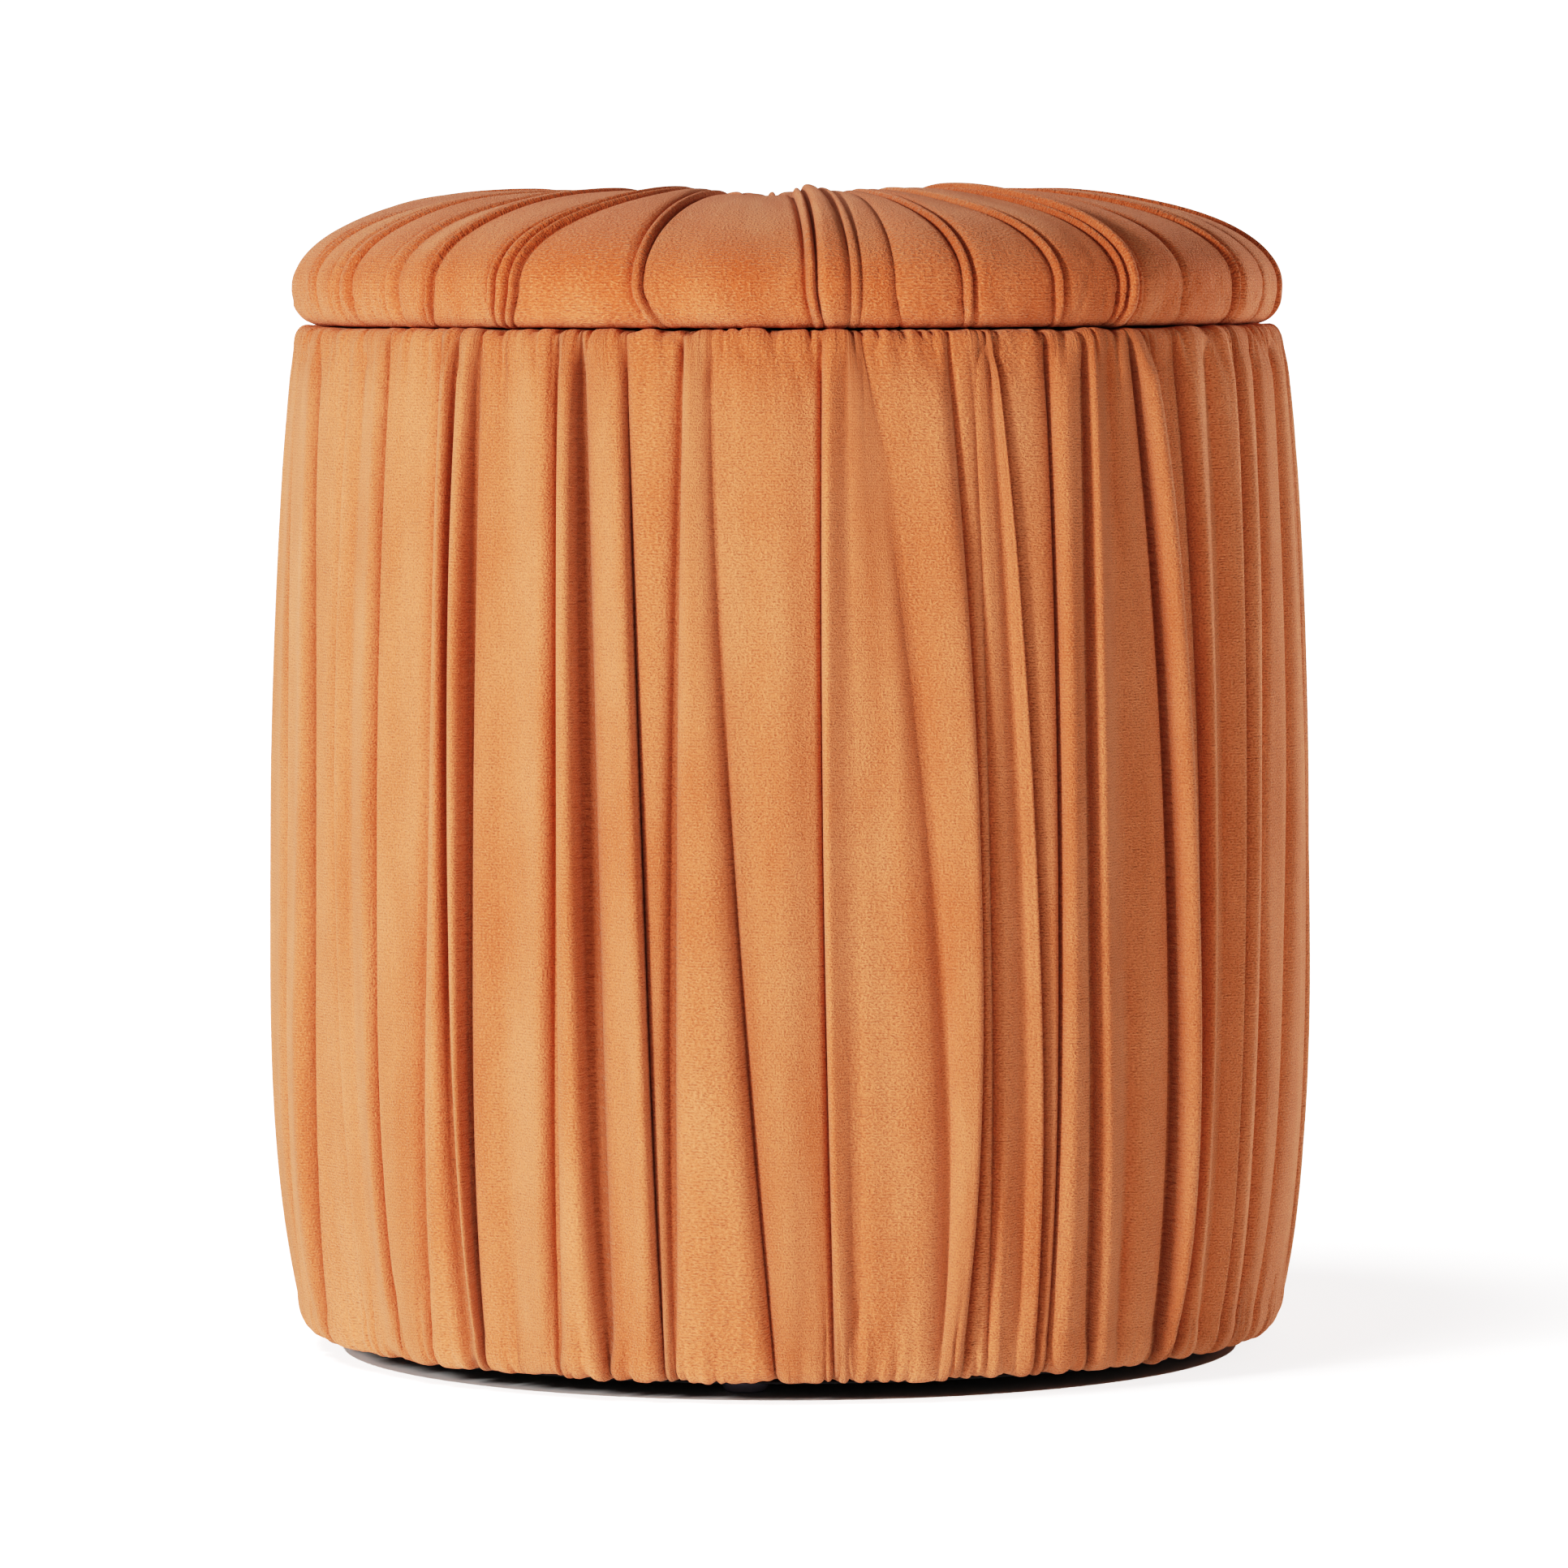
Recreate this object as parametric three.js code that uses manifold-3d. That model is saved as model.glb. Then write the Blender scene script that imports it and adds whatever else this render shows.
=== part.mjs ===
// A round upholstered ottoman with storage.
//
// The body is a wooden drum: a base board and a mouth ring held apart by posts, wrapped
// in a rolled hardboard skin, a barrel-shaped foam sleeve and a gathered fabric cover.
// The lid is a padded board with a covered button at its centre. It lifts straight off,
// and a locating disc under it drops into the mouth of the drum.
//
// Millimetres, +Z up. The origin is the centre of the circle that the feet stand on.
import * as THREE from "three";
import { mergeVertices } from "three/addons/utils/BufferGeometryUtils.js";
import Module from "manifold-3d";

const wasm = await Module();
wasm.setup();

// ---- Overall sizes ----
const BELLY_RADIUS = 203; // widest radius of the body, cover included
const OVERALL_HEIGHT = 456; // floor to the crest of the lid

// ---- Sheet, board and cloth thicknesses ----
const FIT = 0.3; // air between two pieces that touch
const COVER = 2; // velvet with its backing
const CLOTH = 0.8; // black lining and dust cover
const BOARD = 9; // plywood of the base and the lid
const RING_BOARD = 12; // plywood of the mouth ring
const DISC_BOARD = 12; // plywood of the locating disc
const DRUM_SKIN = 3; // rolled hardboard
const FLOOR_CARD = 2; // card inside the storage floor
const TACK_STRIP = 1; // card strip behind the lining's top edge

// ---- Body ----
const SHOULDER_INSET = 8.5; // from the belly radius in to the shoulder of the body
const SHOULDER_DROP = 12; // height of the rounded top edge
const SHOULDER_ROUND = 8; // width of the rounded top edge
const BELLY_RISE = 145; // height of the widest place above the bottom edge
const ANKLE_INSET = 8.5; // from the belly radius in to the ankle of the body
const ANKLE_RISE = 15; // height of the rounded bottom edge
const ANKLE_ROUND = 7; // width of the rounded bottom edge
const BELLY_PADDING = 19; // foam between the drum skin and the cover at the belly
const UPPER_BOW = 0.62; // how high the wall's bow pulls between the belly and the shoulder
const LOWER_BOW = 0.4; // how high it pulls between the ankle and the belly
const RING_WIDTH = 18.4; // radial width of the mouth ring
const FLAP_DEPTH = 24; // cover turned down inside the mouth
const HEM_WIDTH = 22; // cover turned in under a board
const POST_COUNT = 6;
const POST_SETBACK = 4.4; // from the inner edge of the mouth ring out to the posts
const POST_WIDTH = 36; // tangential
const STRIP_HEIGHT = 12;
const STRIP_DROP = 5; // top of the strip below the body's top

// ---- Feet ----
const FOOT_COUNT = 4;
const FOOT_HEIGHT = 6;
const FOOT_INSET = 6.4; // from the turned-in cover's edge in to the feet's screws
const FOOT_TURN = -6.5; // degrees that the front foot stands to the left of the front
const FOOT_SOLE_RADIUS = 6.3;
const FOOT_TOP_RADIUS = 10;
const FOOT_SHOULDER = 1; // straight height at the top of a foot
const FOOT_WEB = 3.2; // plastic between the screw's head and the top of the foot

// ---- Lid ----
const LID_GAP = 0.6; // between the lid and the body it rests on
const LID_HEIGHT = 53; // gap to crest
const LID_WIDE_INSET = 8.2; // from the belly radius in to the widest radius of the lid
const LID_WIDE_RISE = 16; // height of the widest place above the gap
const LID_TUCK = 9; // the lid's side draws in by this much down to the gap
const LID_CREST_INSET = 95; // from the widest radius in to the highest ring of the cushion
const BUTTON_DIP = 20; // crest down to the cushion under the button
const BUTTON_SEAT_MARGIN = 1; // flat place round the button
const FOAM_WRAP = 3; // foam pulled down round the edge of the lid board
const LOCATING_CLEARANCE = 2; // lining of the disc to lining of the mouth, each side

// ---- Button ----
const BUTTON_RADIUS = 11;
const BUTTON_EDGE = 3; // thickness of the button at its rim
const BUTTON_CROWN = 3.5;
const TWINE_RADIUS = 1.2;
const WASHER_RADIUS = 9;
const WASHER_THICK = 2;
const WASHER_POCKET = 12; // radius of the pocket in the locating disc

// ---- Screws ----
const SHANK_RADIUS = 1.9;
const POINT_LENGTH = 4; // taper at a screw's tip
const FLAT_HEAD_RADIUS = 4;
const FLAT_HEAD_HEIGHT = 2.1;
const PAN_HEAD_RADIUS = 3.9;
const PAN_HEAD_HEIGHT = 1.6;
const FRAME_SCREW_LENGTH = 30;
const DISC_SCREW_LENGTH = 18;
const FOOT_SCREW_LENGTH = 14;
const DISC_SCREW_COUNT = 4;
const DISC_SCREW_INSET = 42; // from the locating disc's edge

// ---- Drawing ----
const SIDES = 36; // facets round each large ring
const SMALL_SIDES = 16; // feet and button
const SCREW_SIDES = 8;
const CURVE_STEPS = 3; // points along each curved stretch of an outline
const FRONT = -90; // degrees: the front faces -Y

// ---- Levels, from the floor up ----
const dustCoverZ = FOOT_HEIGHT + FIT;
const bodyBottom = dustCoverZ + CLOTH + FIT; // underside of the turned-in cover
const baseBoardZ = bodyBottom + COVER + FIT;
const storageFloorZ = baseBoardZ + BOARD + FIT;
const storageFloorTop = storageFloorZ + FLOOR_CARD;
const lidBottom = OVERALL_HEIGHT - LID_HEIGHT;
const bodyTop = lidBottom - LID_GAP;
const ringTop = bodyTop - COVER - FIT;
const ringZ = ringTop - RING_BOARD;
const lidBoardZ = lidBottom + COVER + FIT;
const lidBoardTop = lidBoardZ + BOARD;
const discTop = lidBoardZ - FIT;
const discZ = discTop - DISC_BOARD;
const buttonSeat = OVERALL_HEIGHT - BUTTON_DIP;
const footHeadZ = FOOT_HEIGHT - FOOT_WEB; // roof of the screw recess in a foot

// ---- Radii, from the outside in ----
const shoulderRadius = BELLY_RADIUS - SHOULDER_INSET;
const ankleRadius = BELLY_RADIUS - ANKLE_INSET;
const skinOuter = BELLY_RADIUS - COVER - FIT - BELLY_PADDING;
const skinInner = skinOuter - DRUM_SKIN;
const boardRadius = skinInner - FIT;
const hemInner = boardRadius - HEM_WIDTH;
const footCircle = hemInner - FOOT_INSET;
const ringInner = boardRadius - RING_WIDTH;
const flapOuter = ringInner - FIT;
const stripOuter = flapOuter - COVER - FIT;
const liningOuter = stripOuter - TACK_STRIP - FIT;
const liningInner = liningOuter - CLOTH;
const lidWideRadius = BELLY_RADIUS - LID_WIDE_INSET;
const lidEdgeRadius = lidWideRadius - LID_TUCK;
const lidCrestRadius = lidWideRadius - LID_CREST_INSET;
const lidBoardRadius = lidEdgeRadius - COVER - FIT - FOAM_WRAP;
const discLiningRadius = liningInner - LOCATING_CLEARANCE;
const discRadius = discLiningRadius - CLOTH - FIT;
const discScrewCircle = discRadius - DISC_SCREW_INSET;

// A facet's middle lies nearer the axis than its corners by this factor.
const FACET = Math.cos(Math.PI / SIDES);

const MATERIALS = {
  velvet: { color: 0xc9763f, roughness: 0.85, metalness: 0 },
  lining: { color: 0x1b1b1d, roughness: 0.95, metalness: 0 },
  foam: { color: 0xe8dfc0, roughness: 1, metalness: 0 },
  plywood: { color: 0xc9a878, roughness: 0.7, metalness: 0 },
  softwood: { color: 0xd8b98a, roughness: 0.75, metalness: 0 },
  hardboard: { color: 0x8a6142, roughness: 0.8, metalness: 0 },
  card: { color: 0xb8a488, roughness: 0.9, metalness: 0 },
  footPlastic: { color: 0x6f6a72, roughness: 0.35, metalness: 0 },
  zincSteel: { color: 0xb9bcc0, roughness: 0.35, metalness: 1 },
  twine: { color: 0xe6e2d8, roughness: 0.9, metalness: 0 },
};

const ottoman = new THREE.Group();
ottoman.name = "ottoman";

function place(name, geometry, material) {
  const mesh = new THREE.Mesh(geometry, new THREE.MeshStandardMaterial(MATERIALS[material]));
  mesh.name = name;
  ottoman.add(mesh);
  return mesh;
}

// ---- Geometry helpers ----

const point = (radius, height) => new THREE.Vector2(radius, height);

// Twice the signed area of a profile; positive when it runs anticlockwise.
function turnOf(points) {
  return points.reduce((sum, p, i) => sum + p.cross(points[(i + 1) % points.length]), 0);
}

// A profile of (radius, height) points turned about +Z. It starts and ends on the axis,
// or its last point joins its first.
function turned(profile, sides = SIDES) {
  const points = turnOf(profile) > 0 ? profile.slice() : profile.slice().reverse();
  if (points[0].x > 0) points.push(points[0].clone());
  return new THREE.LatheGeometry(points, sides).rotateX(Math.PI / 2);
}

// A ring, or a disc where the inner radius is 0.
function ring(outer, inner, low, high, sides = SIDES) {
  return turned([point(inner, low), point(outer, low), point(outer, high), point(inner, high)], sides);
}

// The same line moved sideways, to its left where the distance is positive.
function offset(points, distance) {
  return points.map((p, i) => {
    const before = points[Math.max(i - 1, 0)];
    const after = points[Math.min(i + 1, points.length - 1)];
    const along = after.clone().sub(before).normalize();
    return point(p.x - along.y * distance, p.y + along.x * distance);
  });
}

// Cloth that follows a line of its outer face, turned about +Z.
function clothTurned(outerFace, thickness) {
  return turned([...outerFace, ...offset(outerFace, -thickness).reverse()]);
}

function solidOf(geometry) {
  const bare = geometry.clone();
  bare.deleteAttribute("normal");
  bare.deleteAttribute("uv");
  const merged = mergeVertices(bare, 1e-3);
  return new wasm.Manifold(
    new wasm.Mesh({
      numProp: 3,
      vertProperties: merged.attributes.position.array,
      triVerts: new Uint32Array(merged.index.array),
    }),
  );
}

// A geometry with others cut away from it.
function cut(geometry, ...tools) {
  const left = tools.reduce((solid, tool) => solid.subtract(solidOf(tool)), solidOf(geometry));
  const mesh = left.getMesh();
  const made = new THREE.BufferGeometry();
  made.setAttribute("position", new THREE.BufferAttribute(mesh.vertProperties, mesh.numProp));
  made.setIndex(new THREE.BufferAttribute(mesh.triVerts, 1));
  return made;
}

// Angles of a pattern round +Z, in degrees.
function pattern(count, start) {
  return Array.from({ length: count }, (_, i) => start + (i * 360) / count);
}

function onCircle(radius, degrees, height = 0) {
  const turn = THREE.MathUtils.degToRad(degrees);
  return new THREE.Vector3(radius * Math.cos(turn), radius * Math.sin(turn), height);
}

function movedTo(geometry, where) {
  return geometry.clone().translate(where.x, where.y, where.z);
}

// ---- Screws ----

// A flat-headed wood screw, point up, with its head's flat face at height 0.
function flatHeadScrew(length) {
  const section = [
    point(0, 0),
    point(FLAT_HEAD_RADIUS, 0),
    point(SHANK_RADIUS, FLAT_HEAD_HEIGHT),
    point(SHANK_RADIUS, length - POINT_LENGTH),
    point(0, length),
  ];
  return turned(section, SCREW_SIDES);
}

// The room that a flat-headed screw needs, opened through the face that it goes in by.
function flatHeadHole(length) {
  const mouth = FLAT_HEAD_RADIUS + FIT;
  const bore = SHANK_RADIUS + FIT;
  const section = [
    point(0, -FIT),
    point(mouth, -FIT),
    point(mouth, FIT),
    point(bore, FLAT_HEAD_HEIGHT + FIT),
    point(bore, length + FIT),
    point(0, length + FIT),
  ];
  return turned(section, SCREW_SIDES);
}

// A pan-headed screw, point up, with the underside of its head at height 0.
function panHeadScrew(length) {
  const section = [
    point(0, -PAN_HEAD_HEIGHT),
    point(PAN_HEAD_RADIUS - PAN_HEAD_HEIGHT / 2, -PAN_HEAD_HEIGHT),
    point(PAN_HEAD_RADIUS, -PAN_HEAD_HEIGHT / 2),
    point(PAN_HEAD_RADIUS, 0),
    point(SHANK_RADIUS, 0),
    point(SHANK_RADIUS, length - POINT_LENGTH),
    point(0, length),
  ];
  return turned(section, SCREW_SIDES);
}

const flipped = (geometry) => geometry.clone().rotateX(Math.PI);

// ---- Outlines of the soft parts ----
// Each runs along an outer face, the way that a clock's hands turn round the section.

// The body's wall, from its flat top edge down to its flat underside.
function bodyWall() {
  const shoulder = bodyTop - SHOULDER_DROP;
  const belly = bodyBottom + BELLY_RISE;
  const ankle = bodyBottom + ANKLE_RISE;
  const upperPull = THREE.MathUtils.lerp(belly, shoulder, UPPER_BOW);
  const lowerPull = THREE.MathUtils.lerp(ankle, belly, LOWER_BOW);
  const path = new THREE.Path();
  path.moveTo(shoulderRadius - SHOULDER_ROUND, bodyTop);
  path.quadraticCurveTo(shoulderRadius, bodyTop, shoulderRadius, shoulder);
  path.quadraticCurveTo(BELLY_RADIUS, upperPull, BELLY_RADIUS, belly);
  path.quadraticCurveTo(BELLY_RADIUS, lowerPull, ankleRadius, ankle);
  path.quadraticCurveTo(ankleRadius, bodyBottom, ankleRadius - ANKLE_ROUND, bodyBottom);
  return path.getPoints(CURVE_STEPS);
}

// The whole cover of the body: up the flap inside the mouth, over the top, down the
// wall, and in under the base board.
function bodyCoverFace() {
  const flapFace = flapOuter - COVER;
  const fold = COVER + FIT;
  const path = new THREE.Path();
  path.moveTo(flapFace, bodyTop - FLAP_DEPTH);
  path.lineTo(flapFace, bodyTop - fold);
  path.quadraticCurveTo(flapFace, bodyTop, flapFace + fold, bodyTop);
  return [...path.getPoints(CURVE_STEPS), ...bodyWall(), point(hemInner, bodyBottom)];
}

// The cushion of the lid, from the seat of its button out over the crest and down to
// the flat underside.
function lidWall() {
  const seatEdge = BUTTON_RADIUS + BUTTON_SEAT_MARGIN;
  const wide = lidBottom + LID_WIDE_RISE;
  const dipMiddle = (seatEdge + lidCrestRadius) / 2;
  const path = new THREE.Path();
  path.moveTo(seatEdge, buttonSeat);
  path.bezierCurveTo(dipMiddle, buttonSeat, dipMiddle, OVERALL_HEIGHT, lidCrestRadius, OVERALL_HEIGHT);
  path.absellipse(
    lidCrestRadius, wide, LID_CREST_INSET, OVERALL_HEIGHT - wide, Math.PI / 2, 0, true, 0,
  );
  path.quadraticCurveTo(lidWideRadius, lidBottom, lidEdgeRadius - COVER, lidBottom);
  return path.getPoints(CURVE_STEPS);
}

function lidCoverFace() {
  const hemEnd = point(lidBoardRadius - HEM_WIDTH, lidBottom);
  return [point(TWINE_RADIUS + FIT, buttonSeat), ...lidWall(), hemEnd];
}

// ---- Body: frame ----

const postAngles = pattern(POST_COUNT, FRONT + 180 / POST_COUNT);
const footAngles = pattern(FOOT_COUNT, FRONT + FOOT_TURN);
const postOuter = Math.sqrt(((skinInner - FIT) * FACET) ** 2 - (POST_WIDTH / 2) ** 2) - FIT;
const postDepth = postOuter - ringInner - POST_SETBACK;
const postCircle = postOuter - postDepth / 2;
const frameScrew = flatHeadScrew(FRAME_SCREW_LENGTH);
const frameScrewHole = flatHeadHole(FRAME_SCREW_LENGTH);
const footScrewTop = footHeadZ + FOOT_SCREW_LENGTH;
const footScrewHole = ring(SHANK_RADIUS + FIT, 0, 0, footScrewTop, SCREW_SIDES);

function makeBaseBoard() {
  const postHoles = postAngles.map((a) => movedTo(frameScrewHole, onCircle(postCircle, a, baseBoardZ)));
  const footHoles = footAngles.map((a) => movedTo(footScrewHole, onCircle(footCircle, a)));
  const board = ring(boardRadius, 0, baseBoardZ, baseBoardZ + BOARD);
  place("base_board", cut(board, ...postHoles, ...footHoles), "plywood");
}

function makeMouthRing() {
  const holes = postAngles.map((a) => movedTo(flipped(frameScrewHole), onCircle(postCircle, a, ringTop)));
  place("mouth_ring", cut(ring(boardRadius, ringInner, ringZ, ringTop), ...holes), "plywood");
}

function makePosts() {
  const low = baseBoardZ + BOARD + FIT;
  const high = ringZ - FIT;
  postAngles.forEach((a, i) => {
    const block = new THREE.BoxGeometry(postDepth, POST_WIDTH, high - low);
    block.rotateZ(THREE.MathUtils.degToRad(a));
    const where = onCircle(postCircle, a, (low + high) / 2);
    const bottomHole = movedTo(frameScrewHole, onCircle(postCircle, a, baseBoardZ));
    const topHole = movedTo(flipped(frameScrewHole), onCircle(postCircle, a, ringTop));
    place(`post_${i + 1}`, cut(movedTo(block, where), bottomHole, topHole), "softwood");
  });
}

function makeFrameScrews() {
  postAngles.forEach((a, i) => {
    const bottom = place(`base_screw_${i + 1}`, frameScrew, "zincSteel");
    bottom.position.copy(onCircle(postCircle, a, baseBoardZ));
    const top = place(`ring_screw_${i + 1}`, flipped(frameScrew), "zincSteel");
    top.position.copy(onCircle(postCircle, a, ringTop));
  });
}

function makeDrumSkin() {
  place("drum_skin", ring(skinOuter, skinInner, baseBoardZ, ringTop), "hardboard");
}

// ---- Body: soft parts ----

function makeFoamSleeve() {
  const inner = skinOuter + FIT;
  const face = offset(bodyWall(), -COVER - FIT);
  place("foam_sleeve", turned([point(inner, ringTop), ...face, point(inner, baseBoardZ)]), "foam");
}

function makeBodyCover() {
  place("body_cover", clothTurned(bodyCoverFace(), COVER), "velvet");
}

function makeLinings() {
  const wallTop = bodyTop - STRIP_DROP + FIT;
  place("lining_wall", ring(liningOuter, liningInner, storageFloorZ, wallTop), "lining");
  const floor = ring(liningInner - FIT, 0, storageFloorZ, storageFloorTop);
  place("storage_floor", floor, "lining");
  const stripTop = bodyTop - STRIP_DROP;
  const strip = ring(stripOuter, stripOuter - TACK_STRIP, stripTop - STRIP_HEIGHT, stripTop);
  place("tack_strip", strip, "card");
}

function makeDustCover() {
  const holes = footAngles.map((a) => movedTo(footScrewHole, onCircle(footCircle, a)));
  const cloth = ring(boardRadius - FIT, 0, dustCoverZ, dustCoverZ + CLOTH);
  place("dust_cover", cut(cloth, ...holes), "lining");
}

// ---- Feet ----

function makeFeet() {
  const headRoom = PAN_HEAD_RADIUS + FIT;
  const shankRoom = SHANK_RADIUS + FIT;
  const section = [
    point(headRoom, 0),
    point(FOOT_SOLE_RADIUS, 0),
    point(FOOT_TOP_RADIUS, FOOT_HEIGHT - FOOT_SHOULDER),
    point(FOOT_TOP_RADIUS, FOOT_HEIGHT),
    point(shankRoom, FOOT_HEIGHT),
    point(shankRoom, footHeadZ),
    point(headRoom, footHeadZ),
  ];
  const foot = turned(section, SMALL_SIDES);
  const screw = panHeadScrew(FOOT_SCREW_LENGTH);
  footAngles.forEach((a, i) => {
    place(`foot_${i + 1}`, foot, "footPlastic").position.copy(onCircle(footCircle, a));
    const fixing = place(`foot_screw_${i + 1}`, screw, "zincSteel");
    fixing.position.copy(onCircle(footCircle, a, footHeadZ - FIT));
  });
}

// ---- Lid ----

const discScrewAngles = pattern(DISC_SCREW_COUNT, FRONT + 180 / DISC_SCREW_COUNT);
const discScrewHole = flatHeadHole(DISC_SCREW_LENGTH);
const discScrewHoles = discScrewAngles.map((a) =>
  movedTo(discScrewHole, onCircle(discScrewCircle, a, discZ)),
);

function makeLidBoards() {
  const twineHole = ring(TWINE_RADIUS + FIT, 0, discZ, buttonSeat, SCREW_SIDES);
  const board = ring(lidBoardRadius, 0, lidBoardZ, lidBoardTop);
  place("lid_board", cut(board, twineHole, ...discScrewHoles), "plywood");
  const disc = ring(discRadius, WASHER_POCKET, discZ, discTop);
  place("locating_disc", cut(disc, ...discScrewHoles), "plywood");
  const screw = flatHeadScrew(DISC_SCREW_LENGTH);
  discScrewAngles.forEach((a, i) => {
    const fixing = place(`disc_screw_${i + 1}`, screw, "zincSteel");
    fixing.position.copy(onCircle(discScrewCircle, a, discZ));
  });
}

function makeLidCushion() {
  const twineRoom = TWINE_RADIUS + FIT;
  const wrap = lidBoardRadius + FIT;
  const face = offset(lidWall(), -COVER - FIT);
  const section = [
    point(twineRoom, buttonSeat - COVER - FIT),
    ...face,
    point(wrap, lidBoardZ),
    point(wrap, lidBoardTop + FIT),
    point(twineRoom, lidBoardTop + FIT),
  ];
  place("lid_foam", turned(section), "foam");
  place("lid_cover", clothTurned(lidCoverFace(), COVER), "velvet");
}

function makeLidLining() {
  const low = discZ - FIT - CLOTH;
  const section = [
    point(0, low),
    point(discLiningRadius, low),
    point(discLiningRadius, discTop - FIT),
    point(discLiningRadius - CLOTH, discTop - FIT),
    point(discLiningRadius - CLOTH, discZ - FIT),
    point(0, discZ - FIT),
  ];
  place("lid_lining", turned(section), "lining");
}

function makeButton() {
  const low = buttonSeat + FIT;
  const rim = low + BUTTON_EDGE;
  const dome = new THREE.Path();
  dome.moveTo(0, low);
  dome.lineTo(BUTTON_RADIUS, low);
  dome.lineTo(BUTTON_RADIUS, rim);
  dome.quadraticCurveTo(BUTTON_RADIUS, rim + BUTTON_CROWN, 0, rim + BUTTON_CROWN);
  place("tuft_button", turned(dome.getPoints(CURVE_STEPS), SMALL_SIDES), "velvet");
  const washerTop = lidBoardZ - FIT;
  const washerZ = washerTop - WASHER_THICK;
  place("twine_washer", ring(WASHER_RADIUS, 0, washerZ, washerTop, SMALL_SIDES), "zincSteel");
  const twine = ring(TWINE_RADIUS, 0, washerTop + FIT, buttonSeat, SCREW_SIDES);
  place("tuft_twine", twine, "twine");
}

makeBaseBoard();
makeMouthRing();
makePosts();
makeFrameScrews();
makeDrumSkin();
makeFoamSleeve();
makeBodyCover();
makeLinings();
makeDustCover();
makeFeet();
makeLidBoards();
makeLidCushion();
makeLidLining();
makeButton();

export default ottoman;
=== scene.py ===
# %% [markdown]
# # A round storage ottoman in gathered velvet
# The stool is a drum: a wooden frame in a hardboard skin, a sleeve of foam, and over it all
# one velvet cover whose fullness is gathered into upright folds. Its lid is a padded board
# with a button in the middle. The frame, its sizes and its one joint come from a packed
# model; this lesson makes everything soft, and gives every surface its finish.

# %% Load the frame
import math

import bpy
import numpy as np
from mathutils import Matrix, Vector


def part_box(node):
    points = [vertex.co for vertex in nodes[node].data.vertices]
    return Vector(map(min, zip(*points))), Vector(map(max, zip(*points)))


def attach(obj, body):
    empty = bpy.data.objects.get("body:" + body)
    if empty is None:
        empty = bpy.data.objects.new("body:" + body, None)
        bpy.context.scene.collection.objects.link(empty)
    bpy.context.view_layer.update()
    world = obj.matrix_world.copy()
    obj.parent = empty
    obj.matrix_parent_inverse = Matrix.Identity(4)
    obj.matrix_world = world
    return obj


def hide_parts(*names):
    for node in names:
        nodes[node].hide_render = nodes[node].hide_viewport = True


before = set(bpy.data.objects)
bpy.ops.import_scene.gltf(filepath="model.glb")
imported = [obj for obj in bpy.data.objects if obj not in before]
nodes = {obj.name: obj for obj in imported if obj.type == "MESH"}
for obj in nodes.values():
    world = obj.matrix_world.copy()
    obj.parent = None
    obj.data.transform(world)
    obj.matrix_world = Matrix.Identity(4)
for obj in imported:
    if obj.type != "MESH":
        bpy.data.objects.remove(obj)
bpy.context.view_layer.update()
MM = 0.001
TURN = 2 * math.pi

# %% [markdown]
# ## Levels and radii
# Nothing here is guessed: each height and radius is read from the box of the solid that the
# soft piece stands for, so the cloth lands where the frame expects it.

# %% Sizes from the frame
body_low, body_high = (np.array(c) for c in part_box("body_cover"))
lid_low, lid_high = (np.array(c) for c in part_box("lid_cover"))
button_low, button_high = (np.array(c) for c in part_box("tuft_button"))

belly_radius = body_high[0]
body_bottom, body_top = body_low[2], body_high[2]
lid_radius = lid_high[0]
lid_bottom, lid_crest = lid_low[2], lid_high[2]
mouth_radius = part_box("tack_strip")[1][0] + 0.3 * MM
board_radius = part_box("base_board")[1][0]
lid_board_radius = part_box("lid_board")[1][0]
print(f"body {body_bottom:.4f} to {body_top:.4f} m high, {belly_radius:.4f} m radius")
print(f"lid {lid_bottom:.4f} to {lid_crest:.4f} m high, {lid_radius:.4f} m radius")

# %% [markdown]
# ## Camera
# A long lens from well back keeps the drum's sides upright, as a catalogue picture does. The
# lens is nearly level with the seat, so the lid shows as a rim and its top stays hidden.

# %% Camera
CAMERA_SIDE = -0.0013
CAMERA_DISTANCE = 3.391
EYE_HEIGHT = 0.4325
LENS = 197.3
FILM_WIDTH = 36
FARTHEST_SEEN = 50
DOWNWARD_TILT = math.radians(3.56)
ROLL = math.radians(0.12)


def in_scene(name, data):
    """A new object of this data, linked into the scene."""
    made = bpy.data.objects.new(name, data)
    bpy.context.scene.collection.objects.link(made)
    return made


camera_data = bpy.data.cameras.new("catalogue_camera")
camera_data.lens = LENS
camera_data.sensor_width = FILM_WIDTH
camera_data.clip_end = FARTHEST_SEEN
camera = in_scene("catalogue_camera", camera_data)
camera.location = (CAMERA_SIDE, -CAMERA_DISTANCE, EYE_HEIGHT)
camera.rotation_euler = (math.pi / 2 - DOWNWARD_TILT, ROLL, 0)
bpy.context.scene.camera = camera
print("camera", LENS, "mm at", tuple(round(v, 3) for v in camera.location))

# %% [markdown]
# ## From a grid of points to a mesh
# Every cover here is a sheet of points in rows and columns. Rows run along the outline from
# one edge of the cloth to the other and columns go round the drum, so a point is a function
# of two numbers. The whole sheet is worked out as arrays and handed to Blender in one go.


# %% Grid to mesh
def grid_faces(rows, columns, closed):
    """Quads between each row and the next, and each column and the next. A closed grid
    joins its last column to its first."""
    across = columns if closed else columns - 1
    i, j = np.meshgrid(np.arange(rows - 1), np.arange(across), indexing="ij")
    nxt = (j + 1) % columns
    return np.stack([i * columns + j, (i + 1) * columns + j,
                     (i + 1) * columns + nxt, i * columns + nxt], -1).reshape(-1, 4)


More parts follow.
